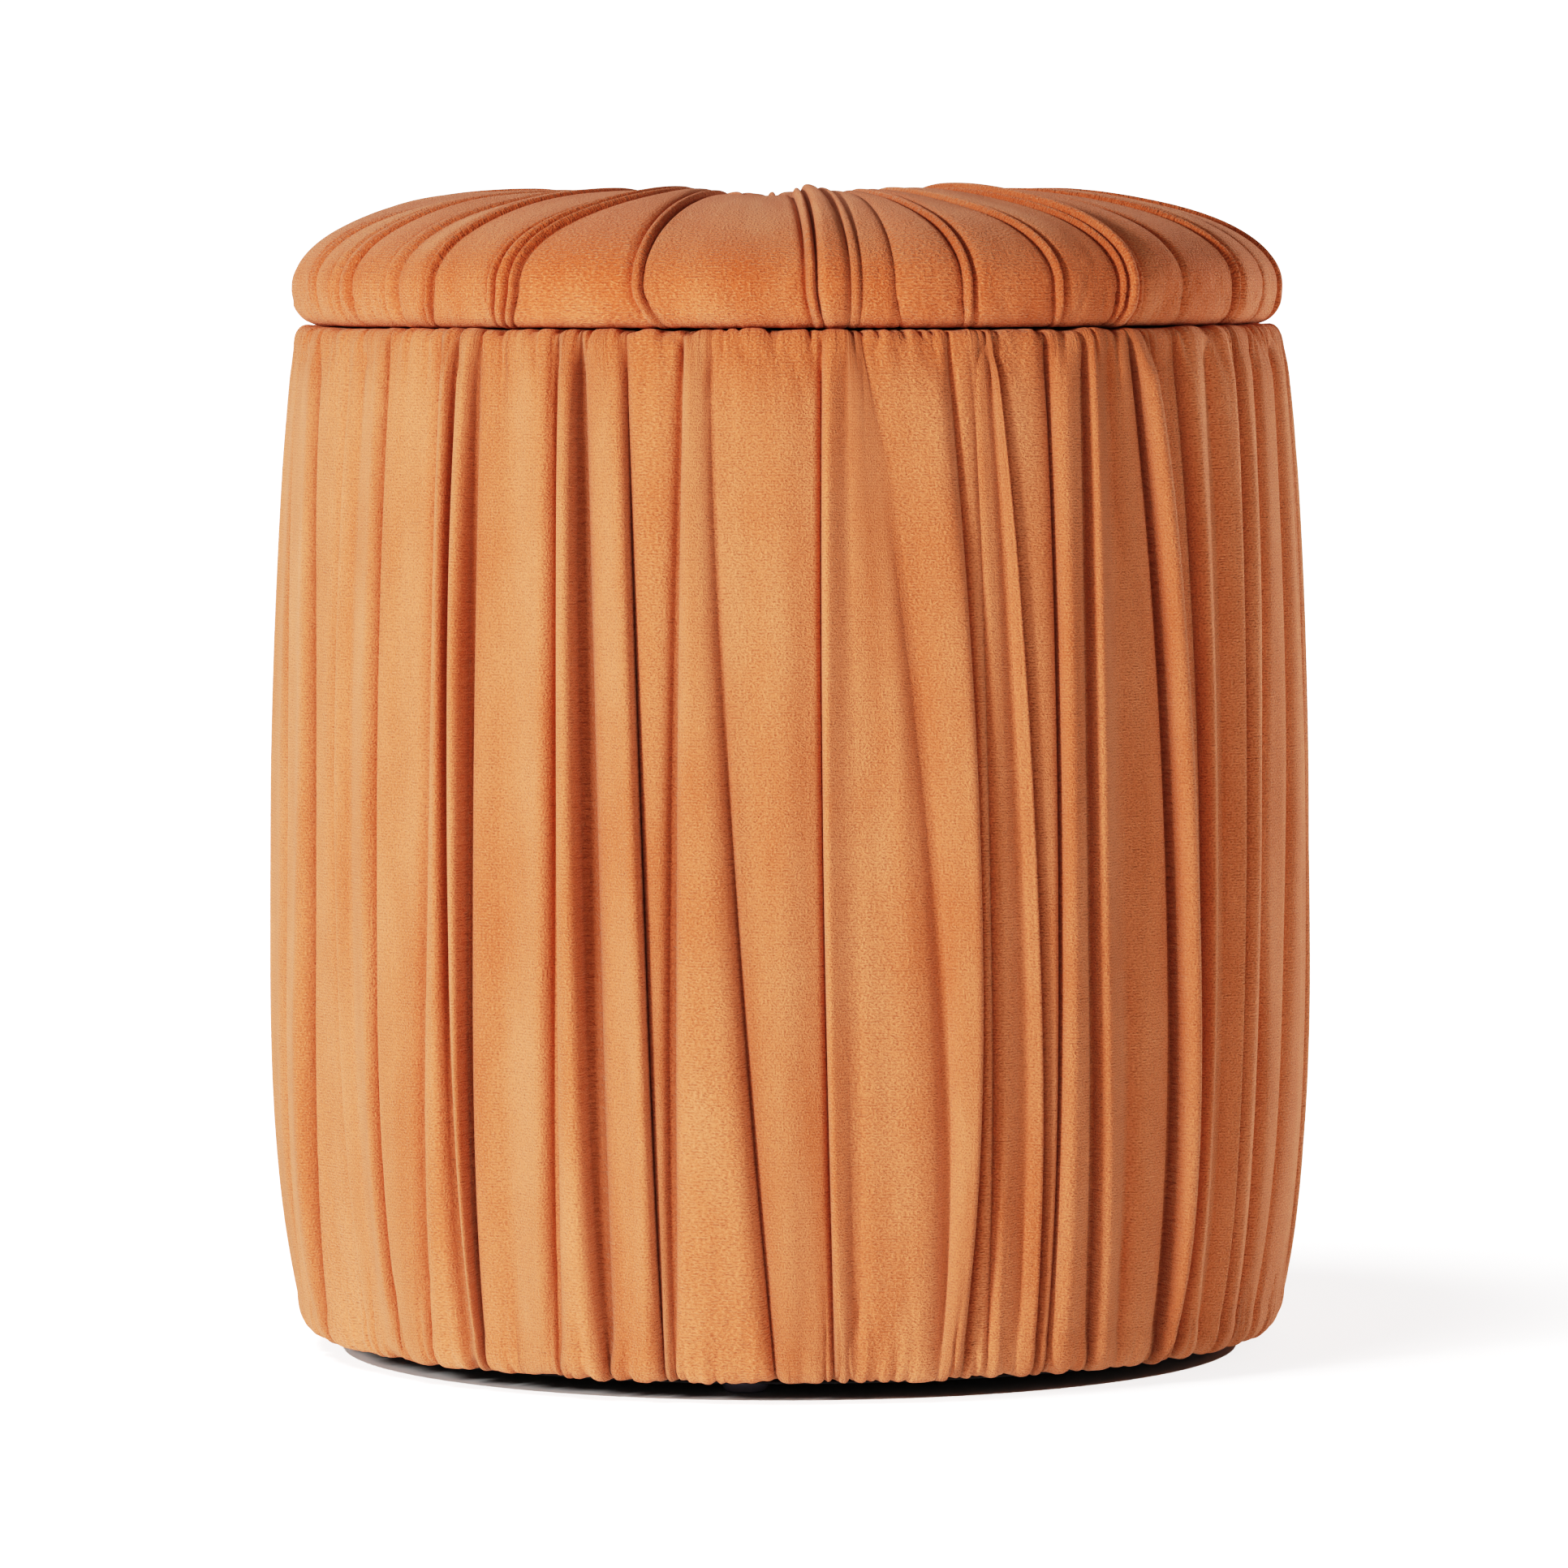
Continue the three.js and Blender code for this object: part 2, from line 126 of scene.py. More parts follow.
def mesh_object(name, points, groups, material, face_uv=None):
    """A smooth mesh object at the origin from an array of points and a list of arrays of
    faces, each array with faces of one size, and an optional UV for each face corner."""
    mesh = bpy.data.meshes.new(name)
    corners = np.concatenate([g.ravel() for g in groups])
    sizes = np.concatenate([np.full(len(g), g.shape[1]) for g in groups])
    mesh.vertices.add(len(points))
    mesh.vertices.foreach_set("co", points.astype(np.float32).ravel())
    mesh.loops.add(len(corners))
    mesh.loops.foreach_set("vertex_index", corners.astype(np.int32))
    mesh.polygons.add(len(sizes))
    mesh.polygons.foreach_set("loop_start", (np.cumsum(sizes) - sizes).astype(np.int32))
    mesh.polygons.foreach_set("use_smooth", np.ones(len(sizes), bool))
    if face_uv is not None:
        layer = mesh.uv_layers.new(name="cloth")
        layer.data.foreach_set("uv", face_uv.astype(np.float32).ravel())
    mesh.update(calc_edges=True)
    mesh.validate()
    mesh.materials.append(material)
    return in_scene(name, mesh)


def ring_uv(rows, columns, along, around):
    """UVs in metres of cloth: across by the distance round the ring, up by the distance
    along the outline. The last column's corners carry on past the seam."""
    i, j = np.meshgrid(np.arange(rows - 1), np.arange(columns), indexing="ij")
    wide = np.append(around, around[-1] + (around[-1] - around[-2]))
    corners = [(i, j), (i + 1, j), (i + 1, j + 1), (i, j + 1)]
    return np.stack([np.stack([wide[b], along[a]], -1) for a, b in corners], -2).reshape(-1, 2)


def point_value(piece, name, values):
    """One number on each point of a piece, for its material to read."""
    layer = piece.data.attributes.new(name, "FLOAT", "POINT")
    layer.data.foreach_set("value", values.astype(np.float32).ravel())


# %% [markdown]
# ## Outlines
# An outline is a list of points, radius and height, that runs the way a clock's hands turn:
# out over the top, down the side and in underneath. Straight stretches and quadratic curves
# are enough, because the cloth's rounded edges are all soft corners between two straights.


# %% Outline helpers
def bend(start, pull, end, steps):
    """A quadratic curve: it leaves start and reaches end, pulled towards one point. The
    last point is left out, so that the next stretch can begin with it."""
    t = np.linspace(0, 1, steps, endpoint=False)[:, None]
    start, pull, end = (np.array(p) for p in (start, pull, end))
    return (1 - t) ** 2 * start + 2 * t * (1 - t) * pull + t ** 2 * end


def straight(start, end, steps):
    """Evenly spaced points on a straight line, without its last."""
    t = np.linspace(0, 1, steps, endpoint=False)[:, None]
    return (1 - t) * np.array(start) + t * np.array(end)


def outward(outline):
    """The direction square to an outline at each point, on its left as it runs."""
    along = np.gradient(outline, axis=0)
    along /= np.linalg.norm(along, axis=1, keepdims=True)
    return np.stack([-along[:, 1], along[:, 0]], -1)


def lengths(outline):
    """Distance along the outline to each of its points."""
    steps = np.linalg.norm(np.diff(outline, axis=0), axis=1)
    return np.concatenate([[0], np.cumsum(steps)])


# %% [markdown]
# ## How a gathered fold is shaped
# Gathered velvet doesn't ripple like a sine wave. Each fold is a soft slope that rises to a
# rounded crest, leans over a little, and dives into a thin crease from which the next
# panel starts. So the cover is built from its creases: a list of angles that wander as they
# run down the cloth. Between two creases lies one panel, and five effects add up on it:
# a long ramp up to the crest at either end, a steep rounded edge down into the crease, a
# sideways lean of the crest over the crease, a lift of the whole panel where a narrow fold
# stands proud like a cord, and a shallow bow over the panel's width.


# %% Fold shapes
def ramp(u):
    """1 at the crease, falling smoothly to 0 at distance 1."""
    u = np.clip(u, 0, 1)
    return (1 - u) ** 2 * (1 + 2 * u)


def edge(u):
    """1 at the crease and 0 from distance 1 on: a steep rounded drop."""
    return np.clip(1 - u, 0, 1) ** 2


def lean(u):
    """0 at the crease, 1 at the crest, dying away over the panel."""
    return u * np.exp(1 - u)


def dome(t):
    """The round back of a narrow fold: 0 at both creases, 1 between them."""
    return np.sqrt(np.clip(1 - (2 * t - 1) ** 2, 0, 1))


def ridge(noise):
    """Thin lines along the zero crossings of a noise: 1 on a line, 0 away from it."""
    return (1 - np.abs(noise)) ** 5


def smooth(t):
    """From 0 to 1 with a level start and end: three t squared less two t cubed."""
    return t * t * (3 - 2 * t)


def rising(distance, reach, least=0):
    """A straight rise from least, near no distance, to 1 at the reach and beyond."""
    return np.clip(distance / reach, least, 1)


def fading(distance, reach):
    """1 at no distance, and e times less with each reach to either side."""
    return np.exp(-np.abs(distance) / reach)


def lattice_noise(across, along, cells, rows, seed):
    """Smooth noise from -1 to 1 on a lattice that closes on itself across. Random values
    at the lattice points are joined by smooth steps."""
    values = np.random.default_rng(seed).uniform(-1, 1, (rows + 2, cells))
    a, b = across % cells, np.clip(along, 0, rows)
    i, j = np.floor(b).astype(int), np.floor(a).astype(int) % cells
    fa, fb = smooth(a - np.floor(a)), smooth(b - i)
    k = (j + 1) % cells
    low = values[i, j] * (1 - fa) + values[i, k] * fa
    high = values[i + 1, j] * (1 - fa) + values[i + 1, k] * fa
    return low * (1 - fb) + high * fb


# %% [markdown]
# ## The pleated sheet
# The function below turns an outline and a table of creases into the finished sheet. It
# works on all rows of a panel at once, and packs its columns close to the creases, where
# the cloth turns sharply, and wider apart over the flat of the panel.

# %% Sizes of a fold
EDGE_REACH = 2.8 * MM  # how far from the crease the steep drop of a low crest begins
EDGE_PER_HEIGHT = 1.5  # how much farther for each unit of its height
EDGE_MOST = 0.45  # the largest share of a panel that the drop takes up
SOFT_EDGE = 1.5  # how much farther still at a soft valley
RAMP_REACH = 15 * MM  # the first three values again, for the long slope up to a crest
RAMP_PER_HEIGHT = 2.4
RAMP_MOST = 0.92
LEAN_SHARE = 0.62  # sideways lean of a crest, as a share of its height
BOW_WIDTH = 10 * MM  # a panel wider than this bows out nearly in full
LEAST_GAP = math.radians(0.22)  # creases that meet run on side by side
LEAST_RADIUS = 10 * MM  # nearer the axis than this, a lean turns no farther
# Pinch also sets how much darker a crease is painted, as painted shade.
PINCH_REACH = 3.2 * MM  # how far from a crease its pile is crushed
COLUMN_STEP = 1.2 * MM
SPARE_COLUMNS = 7
CROWDING = 0.6  # how strongly columns crowd towards the creases
print("a fold's drop takes", 1000 * EDGE_REACH, "mm and its slope", 1000 * RAMP_REACH, "mm")


# %% One panel
def in_order(crease):
    """The same creases with each one kept at least a small gap after the one before, so
    that no panel turns back over itself: a running maximum down the table."""
    gaps = LEAST_GAP * np.arange(len(crease))[:, None]
    return np.maximum.accumulate(crease - gaps, axis=0) + gaps


def one_panel(width, sides, lift, bow):
    """Height, sideways shift and pinch of one panel, and its columns' places from 0 to 1.

    sides holds the crest height, crease depth and softness at its left end and at its right
    end. Each end adds height times ramp, less (height + depth) times edge, and a soft one
    has a longer edge and no depth; the lift adds a dome, and the bow adds a parabola that
    stands as far out in the middle as it sinks at the creases, less on a narrow panel."""
    columns = int(np.ceil(width[len(width) // 2] / COLUMN_STEP)) + SPARE_COLUMNS
    u = np.arange(columns) / columns
    t = CROWDING * (0.5 - 0.5 * np.cos(math.pi * u)) + (1 - CROWDING) * u
    bow = bow * (1 - np.exp(-width / BOW_WIDTH))
    width = width[:, None]
    height = lift[:, None] * dome(t) + bow[:, None] * (4 * t * (1 - t) - 0.5)
    shift = 0 * height
    for distance, (crest, depth, soft), way in ((width * t, sides[0], -1),
                                                (width * (1 - t), sides[1], 1)):
        crest, depth = crest[:, None], depth[:, None] * (1 - soft)
        near = (EDGE_REACH + EDGE_PER_HEIGHT * crest) * (1 + SOFT_EDGE * soft)
        near = np.minimum(near, EDGE_MOST * width)
        far = np.minimum(RAMP_REACH + RAMP_PER_HEIGHT * crest, RAMP_MOST * width)
        height = height + crest * ramp(distance / far) - (crest + depth) * edge(distance / near)
        shift = shift + way * LEAN_SHARE * crest * lean(distance / near)
    return t, height, shift, fading(width * np.minimum(t, 1 - t), PINCH_REACH)


# %% Pleated sheet
def pleated(outline, crease, left, right, depth, soft, lift, bow, extra):
    """Points and pinch of a pleated sheet.

    Every table has a row for each crease and a column for each outline point: the crease's
    angle in radians, the crest heights on its two sides, how deep it cuts in, and how far
    the panel after it stands proud and bows out, in metres. soft has one number for each
    crease. extra gives more height from the angle and from how far a point is from being
    pinched."""
    normal, radius = outward(outline), outline[:, 0]
    crease = in_order(crease)
    parts = []
    for a in range(len(crease)):
        b = (a + 1) % len(crease)
        span = crease[b] + (TURN if b == 0 else 0) - crease[a]
        sides = ((right[a], depth[a], soft[a]), (left[b], depth[b], soft[b]))
        t, height, shift, pinch = one_panel(span * radius, sides, lift[a], bow[a])
        hard = (1 - soft[a]) * (t < 0.5) + (1 - soft[b]) * (t >= 0.5)
        angle = crease[a][:, None] + span[:, None] * t
        height = height + extra(angle, 1 - pinch)
        angle = angle + shift / np.maximum(radius[:, None], LEAST_RADIUS)
        r = radius[:, None] + normal[:, 0:1] * height
        z = outline[:, 1:2] + normal[:, 1:2] * height
        fold = pinch * hard * np.minimum(depth[a], depth[b])[:, None] / np.max(depth)
        parts.append(np.stack([r * np.sin(angle), -r * np.cos(angle), z, fold], -1))
    sheet = np.concatenate(parts, 1)
    return sheet[..., :3], sheet[..., 3]


def spread(table, places, stations):
    """Values given at a few places along the outline, drawn out to every row. Each row of
    table is one crease, each column one of the places. Three values are joined by the
    parabola through them, and more than three by a smooth step from each to the next."""
    table, places = np.asarray(table, float), np.asarray(places)
    if len(places) == 3:
        u = np.clip((stations - places[0]) / (places[2] - places[0]), 0, 1)
        m = (places[1] - places[0]) / (places[2] - places[0])
        base = [(u - m) * (u - 1) / m, u * (u - 1) / (m * (m - 1)), u * (u - m) / (1 - m)]
        return sum(table[:, i:i + 1] * base[i] for i in range(3))
    k = np.clip(np.searchsorted(places, stations, side="right") - 1, 0, len(places) - 2)
    t = smooth(np.clip((stations - places[k]) / (places[k + 1] - places[k]), 0, 1))
    return table[:, k] * (1 - t) + table[:, k + 1] * t


# %% [markdown]
# ## Velvet
# Velvet is a pile fabric: short fibres stand on a knitted ground. Seen flat on it looks
# deep and saturated; seen along the surface the fibre tips catch light and it turns pale.
# A sheen layer gives that pale edge. The ground shows as faint rows across the cloth, and
# the pile lies in slightly different directions, which mottles the colour. Both patterns
# come from one node group, because the body's velvet and the lid's are two materials.
#
# A material is a tree of nodes. The helpers below write one as a sum is written: each takes
# sockets or plain values, and gives back the socket that holds its result.


# %% Node helpers
class Graph:
    """Adds nodes to a tree. An input takes a socket, which is linked in, or a value."""

    def __init__(self, tree):
        self.tree = tree

    def feed(self, slot, value):
        """Link a socket into an input, or set the input to a value."""
        if isinstance(value, bpy.types.NodeSocket):
            self.tree.links.new(value, slot)
        else:
            slot.default_value = value

    def fill(self, made, **inputs):
        """Feed a node's inputs by name, with an underscore for each space."""
        for key, value in inputs.items():
            self.feed(made.inputs[key.replace("_", " ")], value)
        return made

    def node(self, kind, settings=(), **inputs):
        """A new node with its properties set and its inputs fed."""
        made = self.tree.nodes.new("ShaderNode" + kind)
        for key, value in dict(settings).items():
            setattr(made, key, value)
        return self.fill(made, **inputs)

    def maths(self, operation, *values):
        """The result of a Math node, whose inputs all have one name."""
        made = self.node("Math", {"operation": operation})
        for slot, value in zip(made.inputs, values):
            self.feed(slot, value)
        return made.outputs[0]

    def mixed(self, share, first, second):
        """A mix of two colours. A Mix node has inputs of one name for each kind of value,
        so the colour ones are told by their identifiers."""
        made = self.node("Mix", {"data_type": "RGBA"})
        slots = {slot.identifier: slot for slot in made.inputs}
        for name, value in (("Factor_Float", share), ("A_Color", first), ("B_Color", second)):
            self.feed(slots[name], value)
        return next(slot for slot in made.outputs if slot.identifier == "Result_Color")

    def between(self, value, low, high, way="LINEAR"):
        """0 where a value is at low, 1 where it is at high, and a slope between them."""
        return self.node("MapRange", {"interpolation_type": way}, Value=value,
                         From_Min=low, From_Max=high).outputs[0]

    def scaled(self, vector, factors):
        """A vector with each of its numbers multiplied. A pattern that reads it is drawn
        out where the factor is below 1 and squeezed where it is above."""
        made = self.node("VectorMath", {"operation": "MULTIPLY"})
        self.feed(made.inputs[0], vector)
        self.feed(made.inputs[1], factors)
        return made.outputs[0]

    def noise(self, vector, scale, **inputs):
        """The value of a noise, from 0 to 1 and mostly near one half."""
        return self.node("TexNoise", Vector=vector, Scale=scale, **inputs).outputs[0]

    def bump(self, height, distance, strength=1.0):
        """The normal of a surface that stands out by distance where height is 1."""
        return self.node("Bump", Height=height, Distance=distance, Strength=strength).outputs[0]

    def xyz(self, vector):
        """The three numbers of a vector, as sockets named X, Y and Z."""
        return self.node("SeparateXYZ", Vector=vector).outputs

    def own_place(self):
        """Where a point of the surface is on its own piece."""
        return self.node("TexCoord").outputs["Object"]

    def cloth_place(self):
        """Where a point is on the flat cloth, in metres."""
        return self.node("UVMap", {"uv_map": "cloth"}).outputs[0]


# %% Groups and materials
def new_group(name, inputs, outputs):
    """An empty node group: its graph, its input sockets by name, and its output node.
    inputs gives each number's default, or None for a vector. Outputs are numbers, and the
    one called Normal is a vector."""
    group = bpy.data.node_groups.new(name, "ShaderNodeTree")
    for label, default in inputs.items():
        kind = "NodeSocketVector" if default is None else "NodeSocketFloat"
        socket = group.interface.new_socket(label, in_out="INPUT", socket_type=kind)
        if default is not None:
            socket.default_value = default
    for label in outputs:
        kind = "NodeSocketVector" if label == "Normal" else "NodeSocketFloat"
        group.interface.new_socket(label, in_out="OUTPUT", socket_type=kind)
    given, result = group.nodes.new("NodeGroupInput"), group.nodes.new("NodeGroupOutput")
    return Graph(group), given.outputs, result


def new_material(name, **inputs):
    """A material, its graph and its Principled shader, with the shader's inputs fed."""
    material = bpy.data.materials.new(name)
    material.use_nodes = True
    graph = Graph(material.node_tree)
    return material, graph, graph.fill(material.node_tree.nodes["Principled BSDF"], **inputs)


def rgba(colour):
    """A colour of three numbers, none above 1, as the four numbers that a socket takes."""
    return (*np.minimum(colour, 1), 1)


# %% [markdown]
# ## The pile, as a node group
# Three patterns make up the fine grain: tufts, the fibres on them, and the knitted rows
# under them. Two more only show where the cloth is told to: short ribs across a crease,
# where the pile is crushed, and upright pleats at a rim, where the cloth is gathered. The
# last is the mottle, which only changes the colour.

# %% Pile group
TUFT_SHARE, FIBRE_SHARE, ROW_SHARE = 0.66, 0.27, 0.07
TUFTS_PER_ROW, FIBRES_PER_ROW = 1.25, 3.0
PILE_HEIGHT = 1.5 * MM
CRUSHED, GATHERED = 1.6, 3.4  # heights of the ribs and the pleats, in piles


def build_pile_group():
    """Mottle, fine grain and normal of a short pile on a knitted ground.

    The ground is a sine wave up the cloth, one wave for each knitted row, pushed about by
    slow noise. The tufts are noise as fine as the rows and a little wider than high. The
    mottle is broad noise drawn out down the length, as where the pile was brushed. Where
    Pinch is 1 a noise of short ribs runs across the crease, and where Gather is 1 a noise
    of upright pleats runs down from the edge."""
    graph, given, result = new_group("velvet_pile",
                                     {"Cloth": None, "Row": 1 * MM, "Pinch": 0.0, "Gather": 0.0},
                                     ("Mottle", "Fine", "Normal"))
    per_row = graph.maths("DIVIDE", 1.0, given["Row"])

    def layer(scale, detail, across=1.0, along=1.0):
        """Noise on the cloth, squeezed by a factor across and along."""
        place = graph.scaled(given["Cloth"], (across, along, 1))
        return graph.noise(place, scale, Detail=detail, Roughness=0.6)

    wave = graph.maths("MULTIPLY", per_row, TURN)
    wave = graph.maths("MULTIPLY", graph.xyz(given["Cloth"])["Y"], wave)
    wave = graph.maths("SINE", graph.maths("MULTIPLY_ADD", layer(420.0, 1), 5.0, wave))
    rows = graph.maths("MULTIPLY_ADD", wave, 0.5, 0.5)
    tufts = layer(graph.maths("MULTIPLY", per_row, TUFTS_PER_ROW), 1, along=1.2)
    fibres = layer(graph.maths("MULTIPLY", per_row, FIBRES_PER_ROW), 2)
    fine = graph.maths("MULTIPLY", rows, ROW_SHARE)
    fine = graph.maths("MULTIPLY_ADD", fibres, FIBRE_SHARE, fine)
    fine = graph.maths("MULTIPLY_ADD", tufts, TUFT_SHARE, fine)
    height = fine
    for pattern, where, how_high in ((layer(420.0, 1, across=0.35), "Pinch", CRUSHED),
                                     (layer(210.0, 2, along=0.12), "Gather", GATHERED)):
        share = graph.maths("MULTIPLY", given[where], how_high)
        height = graph.maths("MULTIPLY_ADD", pattern, share, height)
    graph.fill(result, Mottle=layer(34.0, 3, along=0.28), Fine=fine,
               Normal=graph.bump(height, PILE_HEIGHT))
    return graph.tree


pile_group = build_pile_group()
print("node group", pile_group.name)

# %% [markdown]
# ## The velvet's colour
# The colour wanders from deep to pale with the mottle. Near the top of the body, under the
# lid's overhang, and over the top of the lid it is painted deeper: painted shade. Single
# tufts stand out darker or paler, and each crease is painted darkest, as painted shade.

# %% Velvet material
TUFT_CONTRAST = 3.2
DEEP_ORANGE, PALE_ORANGE = (0.71, 0.205, 0.078), (0.86, 0.32, 0.152)
# The lid's deep tone is deeper than the body's: partly the cloth's own tone, partly painted shade
# over the lid's top.
LID_DEEP_AND_SHADE_ORANGE = (0.67, 0.165, 0.055)
KNIT_ROW = 1.05 * MM


def velvet(name, deep, shaded_between, crease_shade):
    """Burnt-orange velvet. deep is its deep colour. The next argument gives two heights
    between which the colour turns towards the deep one, as painted shade under the lid's
    overhang or over the lid's top. crease_shade is how much darker a crease is painted, as
    painted shade.

    Each tuft whose noise lies above or below one half is paler or darker by that much."""
    material, graph, shader = new_material(
        name, Roughness=0.85, Specular_IOR_Level=0.12, Sheen_Weight=0.44,
        Sheen_Roughness=0.45, Sheen_Tint=(1.0, 0.76, 0.55, 1))
    pinch, rim = (graph.node("Attribute", {"attribute_name": value}).outputs["Fac"]
                  for value in ("pinch", "rim"))
    pile = graph.node("Group", {"node_tree": pile_group}, Cloth=graph.cloth_place(),
                      Row=KNIT_ROW, Pinch=pinch, Gather=rim).outputs
    deep, pale = np.array(deep), np.array(PALE_ORANGE)
    tone = graph.between(pile["Mottle"], 0.33, 0.67)
    colour = graph.mixed(tone, rgba(deep * 0.8 + pale * 0.2), rgba(pale * 1.02))
    # Painted shade: towards the top of the body and over the lid's top the colour is mixed
    # towards the deep one.
    painted_shade = graph.between(graph.xyz(graph.own_place())["Z"], *shaded_between, "SMOOTHSTEP")
    shade_share = graph.maths("MULTIPLY", painted_shade, graph.maths("SUBTRACT", 1.35, tone))
    colour = graph.mixed(graph.maths("MINIMUM", shade_share, 1.0), colour, rgba(deep))
    fine = graph.maths("SUBTRACT", pile["Fine"], 0.5)
    for contrast, tuft in ((-TUFT_CONTRAST, deep * (0.62, 0.5, 0.45)),
                           (TUFT_CONTRAST, pale * (1.16, 1.32, 1.4))):
        share = graph.maths("MAXIMUM", graph.maths("MULTIPLY", fine, contrast), 0.0)
        colour = graph.mixed(share, colour, rgba(tuft))
    # Painted shade: the nearer a crease, the darker its colour is painted.
    crease_darkening = graph.maths("MULTIPLY", graph.maths("POWER", pinch, 2.0), crease_shade)
    colour = graph.mixed(crease_darkening, colour, rgba(deep * (0.5, 0.46, 0.5)))
    graph.fill(shader, Base_Color=colour, Normal=pile["Normal"])
    return material


# The body's velvet is painted deeper just under the lid, and the lid's velvet over its top, both
# as painted shade.
body_cloth = velvet("burnt_orange_velvet", DEEP_ORANGE,
                    (body_top - 34 * MM, body_top - 1 * MM), 0.7)
# The lid's copy of the velvet is painted deeper than the body's, as painted shade.
lid_cloth = velvet("burnt_orange_velvet_lid", LID_DEEP_AND_SHADE_ORANGE,
                   (lid_bottom - 26 * MM, lid_bottom + 34 * MM), 0.3)
print("materials", body_cloth.name, lid_cloth.name)

# %% [markdown]
# ## The cover of the body
# One tube of velvet, gathered at both ends. It starts inside the mouth, where its flap is
# tacked to the frame, turns over the top edge, follows the barrel of the foam down to the
# floor and is drawn in under the base board.

# %% Outline of the body's cover
SHOULDER_INSET = 8.5 * MM
SHOULDER_DROP = 9 * MM
SHOULDER_ROUND = 5 * MM
ANKLE_INSET = 8.5 * MM
ANKLE_RISE = 15 * MM
ANKLE_ROUND = 7 * MM
BELLY_RISE = 145 * MM
UPPER_BOW = 0.62
LOWER_BOW = 0.4
FLAP_DEPTH = 24 * MM
FLAP_ROUND = 3 * MM
HEM_WIDTH = 22 * MM
PANEL_SINK = 0.6 * MM  # panels lie this much inside the frame's outline; crests pass it
TOP_SINK = 0.3  # share of an inset by which the flat top moves

shoulder = body_top - SHOULDER_DROP
belly = body_bottom + BELLY_RISE
ankle = body_bottom + ANKLE_RISE


def body_outline(inset):
    """The body's outline moved in by an inset, from the edge of the flap in the mouth to
    the edge of the hem under the base."""
    wide, high, low = belly_radius - inset, body_top - TOP_SINK * inset, body_bottom + inset
    top_r, ankle_r = wide - SHOULDER_INSET, wide - ANKLE_INSET
    flap, hem = mouth_radius + inset, board_radius - HEM_WIDTH
    flap_turn, top_turn = flap + FLAP_ROUND, top_r - SHOULDER_ROUND
    upper = belly + (shoulder - belly) * UPPER_BOW
    lower = ankle + (belly - ankle) * LOWER_BOW
    return np.concatenate([
        straight((flap, high - FLAP_DEPTH), (flap, high - FLAP_ROUND), 9),
        bend((flap, high - FLAP_ROUND), (flap, high), (flap_turn, high), 5),
        straight((flap_turn, high), (top_turn, high), 8),
        bend((top_turn, high), (top_r, high), (top_r, shoulder), 12),
        bend((top_r, shoulder), (wide, upper), (wide, belly), 58),
        bend((wide, belly), (wide, lower), (ankle_r, ankle), 38),
        bend((ankle_r, ankle), (ankle_r, low), (ankle_r - ANKLE_ROUND, low), 12),
        straight((ankle_r - ANKLE_ROUND, low), (hem, low), 7),
        [(hem, low)],
    ])


body_line = body_outline(0.0)
print("body outline:", len(body_line), "points,", round(lengths(body_line)[-1], 3), "m of cloth")
